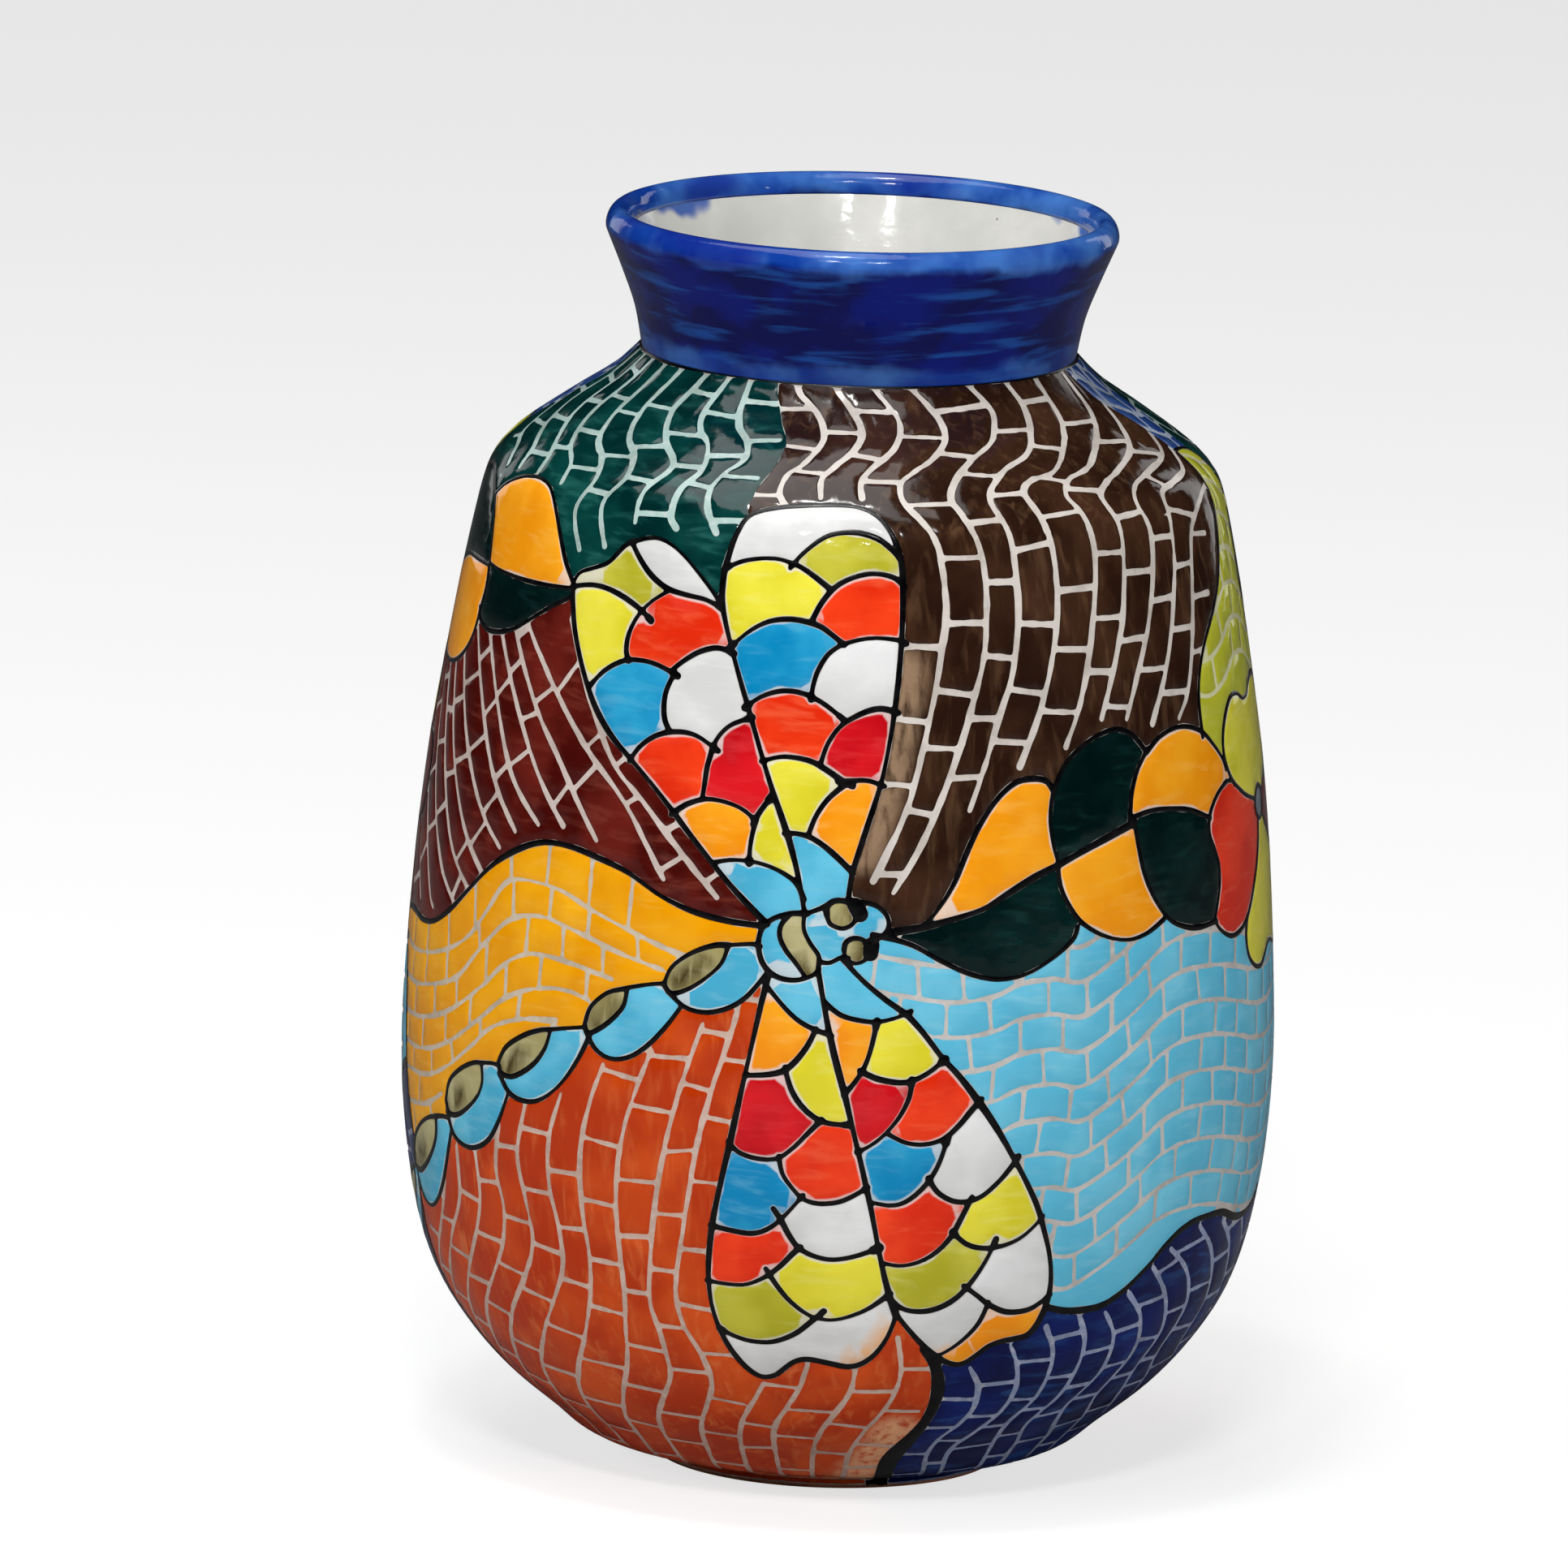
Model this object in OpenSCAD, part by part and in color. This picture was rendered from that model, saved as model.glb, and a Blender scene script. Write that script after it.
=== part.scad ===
// Hand-built talavera vase: clay sections luted together with lap joints,
// lined, dipped in a white ground glaze and given a cobalt collar.
// +Z is up, the origin is the middle of the circle that the foot stands on.

/* [Body] */
// Height of the body, from the table to the crease under the collar
body_h = 278; // [260:1:300]
// Greatest radius of the belly
belly_r = 108; // [100:1:116]
// Thickness of the clay wall and floor
wall = 5.5; // [4.5:0.5:6]

/* [Foot] */
// Outer radius of the foot ring
foot_r = 43.5; // [42:0.5:46]
// Height of the foot ring
foot_h = 3.2; // [3:0.2:4]
// Width of the foot ring, across its standing face
foot_w = 7.5; // [6:0.5:9]

/* [Collar] */
// Radius of the crease between shoulder and collar
throat_r = 53.6; // [51:0.2:56]
// Greatest radius of the lip
rim_r = 63.2; // [61:0.2:66]
// Height of the collar above the crease
collar_h = 34; // [30:1:40]
// Height of the rounded lip at the top of the collar
lip_h = 5; // [4:0.5:6]

/* [Joints] */
// Height of the seam between the lower and the upper body
seam_z = 104; // [90:1:120]
// Depth of the lap between the lower and the upper body
lap = 6; // [4:0.5:8]
// Depth of the seat that the collar stands in
seat = 4; // [3:0.5:5]
// Height of the tongue that keys the foot ring into the base
tongue_h = 1.5; // [1:0.5:2.5]

/* [Glaze] */
// Thickness of the outer glaze coats
coat = 0.6; // [0.5:0.1:0.8]
// Thickness of the inner glaze
lining = 0.5; // [0.4:0.1:0.6]
// Bare clay left above the standing face
bare = 0.8; // [0.6:0.1:1.2]

/* [Hidden] */
$fn = 120;

// Straight pieces drawn between two points of a smooth curve
STEPS = 4;
// Straight pieces in a quarter turn of the lip or of the throat
ARC_STEPS = 6;
// Reach of the cutting squares beyond the clay
REACH = 20;
// Radius that the shoulder's inner face turns through to reach the throat
THROAT_FILLET = 4;
// Chamfer on the edges of the foot ring's standing face
FOOT_CHAMFER = 0.6;

top_z = body_h + collar_h;
lip_z = top_z - lip_h;
flare = rim_r - throat_r;
full = wall + coat + lining;
seat_r = throat_r - coat;
seat_z = body_h - seat;
lap_r = belly_r - coat - wall / 2;

// The body's outline, as shares of belly_r and body_h, from the foot to the crease
BODY_SHARES = [
    [0.560, 0.025], [0.645, 0.050], [0.755, 0.085], [0.845, 0.125], [0.915, 0.170], [0.960, 0.225],
    [0.990, 0.300], [1.000, 0.380], [0.991, 0.470], [0.975, 0.560], [0.950, 0.650], [0.913, 0.740],
    [0.882, 0.810], [0.846, 0.875], [0.818, 0.900], [0.766, 0.920], [0.657, 0.950], [0.561, 0.975]
];

// The collar's outline, as shares of its flare and of its height up to the lip
COLLAR_SHARES = [[0, 0], [0.20, 0.33], [0.57, 0.66], [1, 1]];

// Catmull-Rom curve through a list of points, ends included
function pick(k, i) = k[min(max(i, 0), len(k) - 1)];
function blend(a, b, c, d, t) =
    0.5 * (2 * b + (c - a) * t + (2 * a - 5 * b + 4 * c - d) * t * t + (3 * b - a - 3 * c + d) * t * t * t);
function smooth(k) = concat(
    [for (i = [0:len(k) - 2], s = [0:STEPS - 1])
        blend(pick(k, i - 1), pick(k, i), pick(k, i + 1), pick(k, i + 2), s / STEPS)],
    [k[len(k) - 1]]
);

// A path moved towards the axis by d: square to itself, or level
function heading(p, i) = pick(p, i + 1) - pick(p, i - 1);
function inset(p, d) = [for (i = [0:len(p) - 1])
    let (h = heading(p, i), u = h / norm(h)) p[i] + d * [-u[1], u[0]]];
function shifted(p, d) = [for (q = p) q - [d, 0]];
function reversed(p) = [for (i = [len(p) - 1:-1:0]) p[i]];

BODY = smooth(concat(
    [[foot_r, foot_h]],
    [for (s = BODY_SHARES) [s[0] * belly_r, s[1] * body_h]],
    [[throat_r, body_h]]
));
COLLAR = smooth([for (s = COLLAR_SHARES) [throat_r + s[0] * flare, body_h + s[1] * (lip_z - body_h)]]);

// The lip, from outside over the top to inside, under a coat of d_out outside and d_in inside
function lip(d_out, d_in) = [for (s = [0:2 * ARC_STEPS])
    let (a = 90 * s / ARC_STEPS, w = full / 2 - (a <= 90 ? d_out : d_in))
    [rim_r - full / 2 + w * cos(a), lip_z + (lip_h - d_out) * sin(a)]];

// Where the shoulder's inner face, at depth d, turns up into the throat
function throat(d) = [for (s = [0:ARC_STEPS])
    let (a = 270 - 90 * s / ARC_STEPS, r = THROAT_FILLET + d - coat - wall)
    [throat_r - coat - wall + THROAT_FILLET + r * cos(a), seat_z - 2 + r * sin(a)]];

// The outside and the inside of the pot at depth d, from the foot to the lip
function outside(d) = concat(inset(BODY, d), shifted(COLLAR, d));
function inside(d) = concat(
    [for (p = inset(BODY, d)) if (p[0] > throat_r + 2 || p[1] < seam_z) p],
    throat(d),
    shifted(COLLAR, d)
);
function floor_at(d) = [0, inside(d)[0][1]];

// All the clay above the foot ring, as one half section
module clay_section()
    polygon(concat([[0, foot_h]], outside(coat), lip(coat, lining), reversed(inside(coat + wall)),
                   [floor_at(coat + wall)]));

// What lies below the seam, where the inner half of the wall stands higher than the outer half
module below_seam() {
    translate([0, -REACH]) square([belly_r + REACH, seam_z + REACH]);
    square([lap_r, seam_z + lap]);
}

// What belongs to the collar: all above the crease, and the seat cut into the shoulder
module above_seat() {
    translate([0, body_h]) square([rim_r + REACH, collar_h + REACH]);
    translate([0, seat_z]) square([seat_r, collar_h + REACH]);
}

// The tongue that stands up from the middle of the foot ring, and the groove that takes it
module tongue()
    translate([foot_r - 0.7 * foot_w, foot_h / 2]) square([0.4 * foot_w, foot_h / 2 + tongue_h]);

module foot_ring() color("saddlebrown") rotate_extrude() {
    difference() {
        translate([foot_r - foot_w, 0]) square([foot_w - coat, foot_h]);
        for (r = [foot_r - foot_w, foot_r - coat])
            translate([r, 0]) rotate(45) square(FOOT_CHAMFER * sqrt(2), center = true);
    }
    tongue();
}

module lower_body() color("peru") rotate_extrude() difference() {
    intersection() {
        clay_section();
        below_seam();
    }
    tongue();
}

module upper_body() color("sandybrown") rotate_extrude() difference() {
    clay_section();
    below_seam();
    above_seat();
}

module collar() color("chocolate") rotate_extrude() intersection() {
    clay_section();
    above_seat();
}

module inner_glaze() color("ivory") rotate_extrude()
    polygon(concat([floor_at(coat + wall)], inside(coat + wall), reversed(inside(full)), [floor_at(full)]));

module body_glaze() color("white") rotate_extrude()
    polygon(concat([[foot_r - coat, bare], [foot_r, bare]], BODY, reversed(inset(BODY, coat))));

module collar_glaze() color("royalblue") rotate_extrude()
    polygon(concat(COLLAR, lip(0, 0), reversed(lip(coat, lining)), reversed(shifted(COLLAR, coat))));

foot_ring();
lower_body();
upper_body();
collar();
inner_glaze();
body_glaze();
collar_glaze();
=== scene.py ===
"""Looks of the talavera vase: painted enamels over the turned clay that the CAD frame holds.

The painting is drawn the way the painter works: black outlines first, then pale brick joints,
then each patch that the lines leave is filled with a raised pad of enamel.
Its points are (degrees round the vase from the front, millimetres up the surface from the foot).
The design fills half of the vase, and the back repeats it.
"""
import math

import bpy
import numpy as np
from mathutils import Matrix, Vector
from mathutils.bvhtree import BVHTree
from mathutils.geometry import delaunay_2d_cdt


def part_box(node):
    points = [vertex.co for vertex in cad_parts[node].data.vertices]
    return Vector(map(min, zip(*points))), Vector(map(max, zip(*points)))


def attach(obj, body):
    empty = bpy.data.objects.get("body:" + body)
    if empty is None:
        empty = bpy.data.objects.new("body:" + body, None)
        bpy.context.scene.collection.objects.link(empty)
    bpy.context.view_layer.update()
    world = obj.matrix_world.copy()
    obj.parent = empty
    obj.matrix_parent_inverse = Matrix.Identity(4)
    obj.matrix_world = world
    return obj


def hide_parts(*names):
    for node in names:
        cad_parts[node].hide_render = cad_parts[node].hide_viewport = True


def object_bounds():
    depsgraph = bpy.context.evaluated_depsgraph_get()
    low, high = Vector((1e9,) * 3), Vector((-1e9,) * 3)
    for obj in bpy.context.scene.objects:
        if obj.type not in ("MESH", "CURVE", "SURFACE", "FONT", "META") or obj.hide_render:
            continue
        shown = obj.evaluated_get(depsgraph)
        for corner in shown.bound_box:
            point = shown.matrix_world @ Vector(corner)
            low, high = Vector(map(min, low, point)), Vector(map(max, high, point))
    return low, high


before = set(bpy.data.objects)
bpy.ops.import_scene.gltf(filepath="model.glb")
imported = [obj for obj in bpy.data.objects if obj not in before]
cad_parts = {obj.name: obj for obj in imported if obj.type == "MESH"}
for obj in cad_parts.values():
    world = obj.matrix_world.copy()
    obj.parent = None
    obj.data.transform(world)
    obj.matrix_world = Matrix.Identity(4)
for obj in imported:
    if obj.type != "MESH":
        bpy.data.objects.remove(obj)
cad_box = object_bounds()

MM = 0.001
SIDES = {"front": 0.0, "back": 180.0}

# Depths below the outer surface in mm: crests of the ink, the enamel pads and the collar, the foot of
# both kinds of pad, how far their backs lie below it, and the backs of the ground and of the collar
INK_TOP = 0.02
PAD_TOP = 0.06
COLLAR_TOP = 0.03
PAD_FOOT = 0.26
PAD_BACK_BELOW = 0.03
GROUND = 0.20
GROUND_BACK = 0.60
COLLAR_BACK = 0.50


# ------------------------------------------------------------------ shape of the vase

# Directions in degrees that a turned node is measured in, and a radius in metres well outside it
BEARINGS = np.arange(0.0, 36.0, 4.5)
OUTSIDE = 0.3


def radii(node, heights, inner=False):
    """Radius of a turned node at each height in mm: the greatest, or the least, that rays meet."""
    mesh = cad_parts[node].data
    tree = BVHTree.FromPolygons([v.co for v in mesh.vertices], [p.vertices for p in mesh.polygons])
    best = np.full(len(heights), 1e3 if inner else 0.0)
    for turn in np.radians(BEARINGS):
        out = Vector((math.cos(turn), math.sin(turn), 0.0))
        for i, z in enumerate(heights):
            start = Vector((0, 0, z * MM)) + out * (0.0 if inner else OUTSIDE)
            hit = tree.ray_cast(start, out if inner else -out)[0]
            if hit is not None:
                r = hit.xy.length / MM
                best[i] = min(best[i], r) if inner else max(best[i], r)
    return best


def soften(values, width):
    """Moving average that keeps the two ends."""
    kernel = np.hanning(width + 2)[1:-1]
    padded = np.concatenate([2 * values[0] - values[width // 2:0:-1], values,
                             2 * values[-1] - values[-2:-2 - width // 2:-1]])
    return np.convolve(padded, kernel / kernel.sum(), "valid")


class Outline:
    """A turned outline: radius, height and outward normal against length along it in mm."""

    def __init__(self, radius, height, start=0.0, soft=9, step=0.5):
        length = np.concatenate([[0.0], np.cumsum(np.hypot(np.diff(radius), np.diff(height)))])
        self.s = np.arange(0.0, length[-1] + step / 2, step)
        self.r = soften(np.interp(self.s, length, radius), soft)
        self.z = soften(np.interp(self.s, length, height), soft)
        self.s += start
        tr, tz = np.gradient(self.r), np.gradient(self.z)
        size = np.hypot(tr, tz)
        self.nr, self.nz = tz / size, -tr / size

    def at(self, a, s, depth):
        """Points in metres at angle a, length s and depth under the surface."""
        r = np.interp(s, self.s, self.r) - depth * np.interp(s, self.s, self.nr)
        z = np.interp(s, self.s, self.z) - depth * np.interp(s, self.s, self.nz)
        t = np.radians(a)
        return np.stack([r * np.sin(t), -r * np.cos(t), z + 0 * t], axis=-1) * MM


BARE, CREASE = (corner.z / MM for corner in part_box("body_glaze"))
FOOT_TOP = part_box("lower_body")[0].z / MM
heights = np.arange(BARE + 0.02, CREASE, 0.2)
BODY = Outline(radii("body_glaze", heights), heights, start=BARE - FOOT_TOP)
S_LOW, S_TOP = float(BODY.s[0]), float(BODY.s[-1])


# ------------------------------------------------------------------ the painter's grid

# First, last and step: degrees round the vase, and mm up it. BELLY is mm in a degree at the widest place,
# and FAR is the greatest distance in mm that a stroke keeps account of.
A0, A1, DA = -98.0, 110.0, 0.17
S0, S1, DS = -3.0, 326.0, 0.33
COLS = np.arange(A0, A1 + DA / 2, DA)
ROWS = np.arange(S0, S1 + DS / 2, DS)
BELLY = float(BODY.r.max()) * math.pi / 180
FAR = 5.0
rng = np.random.default_rng(7)


def mm_per_degree(s):
    return np.interp(s, BODY.s, BODY.r) * math.pi / 180


def smooth(points, n=6):
    """Catmull-Rom curve through the points, with any further columns carried along."""
    k = np.asarray(points, float)
    ends = np.vstack([k[0], k, k[-1]])
    t = np.linspace(0, 1, n, endpoint=False)[:, None]
    out = []
    for a, b, c, d in zip(ends[:-3], ends[1:-2], ends[2:-1], ends[3:]):
        out.append(0.5 * (2 * b + (c - a) * t + (2 * a - 5 * b + 4 * c - d) * t ** 2
                          + (3 * b - a - 3 * c + d) * t ** 3))
    return np.vstack(out + [k[-1:]])


def arc_length(path):
    """Length along a path in mm, point by point."""
    steps = np.diff(path[:, :2], axis=0)
    steps[:, 0] *= mm_per_degree((path[1:, 1] + path[:-1, 1]) / 2)
    return np.concatenate([[0.0], np.cumsum(np.hypot(steps[:, 0], steps[:, 1]))])


def along(path, length, at):
    """The path's points at the lengths given."""
    return np.stack([np.interp(at, length, path[:, i]) for i in range(path.shape[1])], axis=1)


class Strokes:
    """Distance in mm to the nearest brush stroke: negative inside it."""

    def __init__(self):
        self.d = np.full((len(ROWS), len(COLS)), FAR)

    def draw(self, path, width):
        """Path of (a, s) points, with a width in mm or one for each point."""
        half = np.broadcast_to(np.asarray(width, float) / 2, (len(path),))
        k = mm_per_degree(path[:, 1])
        for (a, s), (b, t), w, v, m in zip(path[:-1], path[1:], half[:-1], half[1:], k):
            reach = FAR + max(w, v)
            r0 = max(int((min(s, t) - reach - S0) / DS), 0)
            r1 = int((max(s, t) + reach - S0) / DS) + 2
            c0 = max(int((min(a, b) - reach / m - A0) / DA), 0)
            c1 = max(int((max(a, b) + reach / m - A0) / DA) + 2, 0)
            x = (COLS[None, c0:c1] - a) * m
            y = ROWS[r0:r1, None] - s
            if x.size == 0 or y.size == 0:
                continue
            dx, dy = (b - a) * m, t - s
            u = np.clip((x * dx + y * dy) / max(dx * dx + dy * dy, 1e-9), 0, 1)
            d = np.hypot(x - u * dx, y - u * dy) - (w + (v - w) * u)
            window = self.d[r0:r1, c0:c1]
            np.minimum(window, d, out=window)


# The two swells of a brush's width along a stroke: mm of path for each radian
SWELLS = (5.0, 11.0)


def wobble(path, width, share=0.12):
    """A brush width that swells and thins slowly along the path."""
    length = arc_length(path)
    phase = rng.uniform(0, 2 * math.pi, 2)
    w = 1 + share * np.sin(length / SWELLS[0] + phase[0]) + share * np.sin(length / SWELLS[1] + phase[1])
    return width * w


# ------------------------------------------------------------------ the painted design

EDGES = [
    # amber and maroon
    (1.5, [(-91, 161), (-86, 164), (-80, 165), (-75, 164.5), (-70, 166), (-65, 170.5), (-60, 177.5),
           (-55, 185), (-50, 190.5), (-45, 194), (-40, 194.5), (-35, 193), (-30, 190.5), (-25, 186),
           (-20, 183), (-15, 181.5), (-10.5, 181)]),
    # light blue and navy
    (1.8, [(31, 84.5), (34, 83), (37, 82.5), (40.5, 83), (44, 86), (48, 91.5), (52, 97.5), (56, 100.5),
           (60, 101), (65, 100.5), (70, 97.5), (75, 96.5), (81, 98), (86, 104), (91, 116), (96, 124),
           (100, 127)]),
    # light blue and the amber of the other side
    (1.4, [(89.5, 161), (93, 157), (97, 148), (99, 138), (100, 127)]),
    (1.4, [(-80, 127), (-78.5, 118), (-77, 110), (-77, 104)]),
    # navy and the orange of the other side
    (2.0, [(-76.5, 98), (-77.5, 85), (-76, 70), (-73, 55), (-72, 40), (-73, 20), (-75, -3)]),
    # brown and lime
    (1.2, [(59.5, 221), (59.5, 229), (60.5, 236), (63, 243), (67, 249.5), (71, 256), (74, 264), (76, 273),
           (77.5, 283), (78, 291)]),
    (1.4, [(88, 244), (89.5, 236), (91.5, 228), (92.8, 221)]),
    (1.3, [(78, 291), (82, 290.5), (86, 288.5), (88, 284), (88.6, 277), (89.5, 271)]),
    # under the collar
    (0.9, [(-96, 324), (-60, 323.8), (-30, 324.1), (0, 323.9), (30, 324.2), (60, 323.9), (90, 324)]),
]
# The thick line between orange and navy: degrees, mm up, width
STEM = [(13.5, 74.5, 2.4), (15.6, 69, 2.6), (16.8, 62, 3.2), (17.1, 55, 3.6), (16.6, 48, 4), (15.5, 41, 4.4),
        (14.2, 34, 4.6), (13.2, 27, 4.6), (13.3, 20, 4.6), (14.6, 12, 4.8), (16.5, 4, 5), (17.5, -3, 5)]
# Where two colours meet with no line between them
SOFT_EDGES = [
    [(-21.5, 326), (-20.5, 321), (-18.5, 316), (-16.7, 311), (-15, 307), (-14.4, 303), (-15.2, 296),
     (-17, 288), (-17.3, 280)],
    [(69, 326), (70, 322), (72.2, 314), (75.8, 304), (77.5, 296), (78, 291)],
    [(92, 326), (91, 316), (88.5, 305), (86.5, 296), (86, 288.5)],
]

WINGS = [
    (1.4, [(-5.2, 186), (-6.3, 195), (-8, 204.5), (-10.6, 216), (-14, 232), (-17, 245.5), (-19.3, 257),
           (-19.7, 264), (-19.2, 270), (-18.3, 275.5), (-16.6, 280.5), (-12, 283.3), (-5, 284.7), (0, 284.5),
           (3.2, 282.3), (5.5, 278), (7, 272), (7.5, 265), (7.3, 250), (6.5, 235), (5, 219), (3, 206.5),
           (1.2, 195.5), (0.7, 189)]),
    (1.5, [(-10, 181.5), (-14.5, 189), (-17.5, 194.5), (-21, 201), (-24.5, 207.5), (-28, 213.3),
           (-31.3, 218), (-35, 223), (-38.5, 229.5), (-41.5, 237.5), (-44, 246), (-45.3, 252.5),
           (-46, 257.5)]),
    (1.1, [(-46, 257.5), (-45, 260.5), (-42, 262.5), (-39.5, 264.5), (-37.2, 268.8), (-35.3, 270.5),
           (-32, 272), (-29, 271), (-26, 268), (-23.5, 264.5), (-21.3, 261), (-19.3, 257.2)]),
    (1.5, [(-9.5, 169), (-10.2, 163), (-11, 155), (-11.8, 147), (-12.7, 138), (-13.7, 128), (-14.8, 118),
           (-15.8, 109), (-16.4, 101), (-16.7, 93), (-16.4, 85), (-15.4, 78), (-14, 72.3), (-12, 67),
           (-10, 64.4), (-8, 65), (-6.5, 67.5), (-5, 70), (-3, 71), (0, 70), (2.5, 69), (4.5, 69.8),
           (6.5, 73), (8, 78), (8.8, 83), (8.8, 86)]),
    (1.5, [(-3, 171), (-1.8, 160), (-0.5, 150), (0.9, 141), (2.3, 131), (3.7, 121), (5, 111), (6, 102.5),
           (7, 95), (8, 89), (8.9, 84.5)]),
    (1.6, [(0.3, 173.5), (3, 168.5), (6, 164), (8.7, 160.5), (11, 156), (13.5, 150), (16, 145), (18.5, 139),
           (21, 132.5), (23.5, 125), (25.5, 118.8), (27.5, 112), (29, 105), (30.3, 98), (31, 91), (30.8, 85),
           (30, 80), (28.8, 77), (27, 76.2), (25, 75.8), (23, 74.5), (21.5, 72), (20, 69.8), (18.5, 69.3),
           (16.5, 70.8), (14, 74.3), (11.5, 79), (9.5, 83.5), (8.8, 86)]),
]
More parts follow.
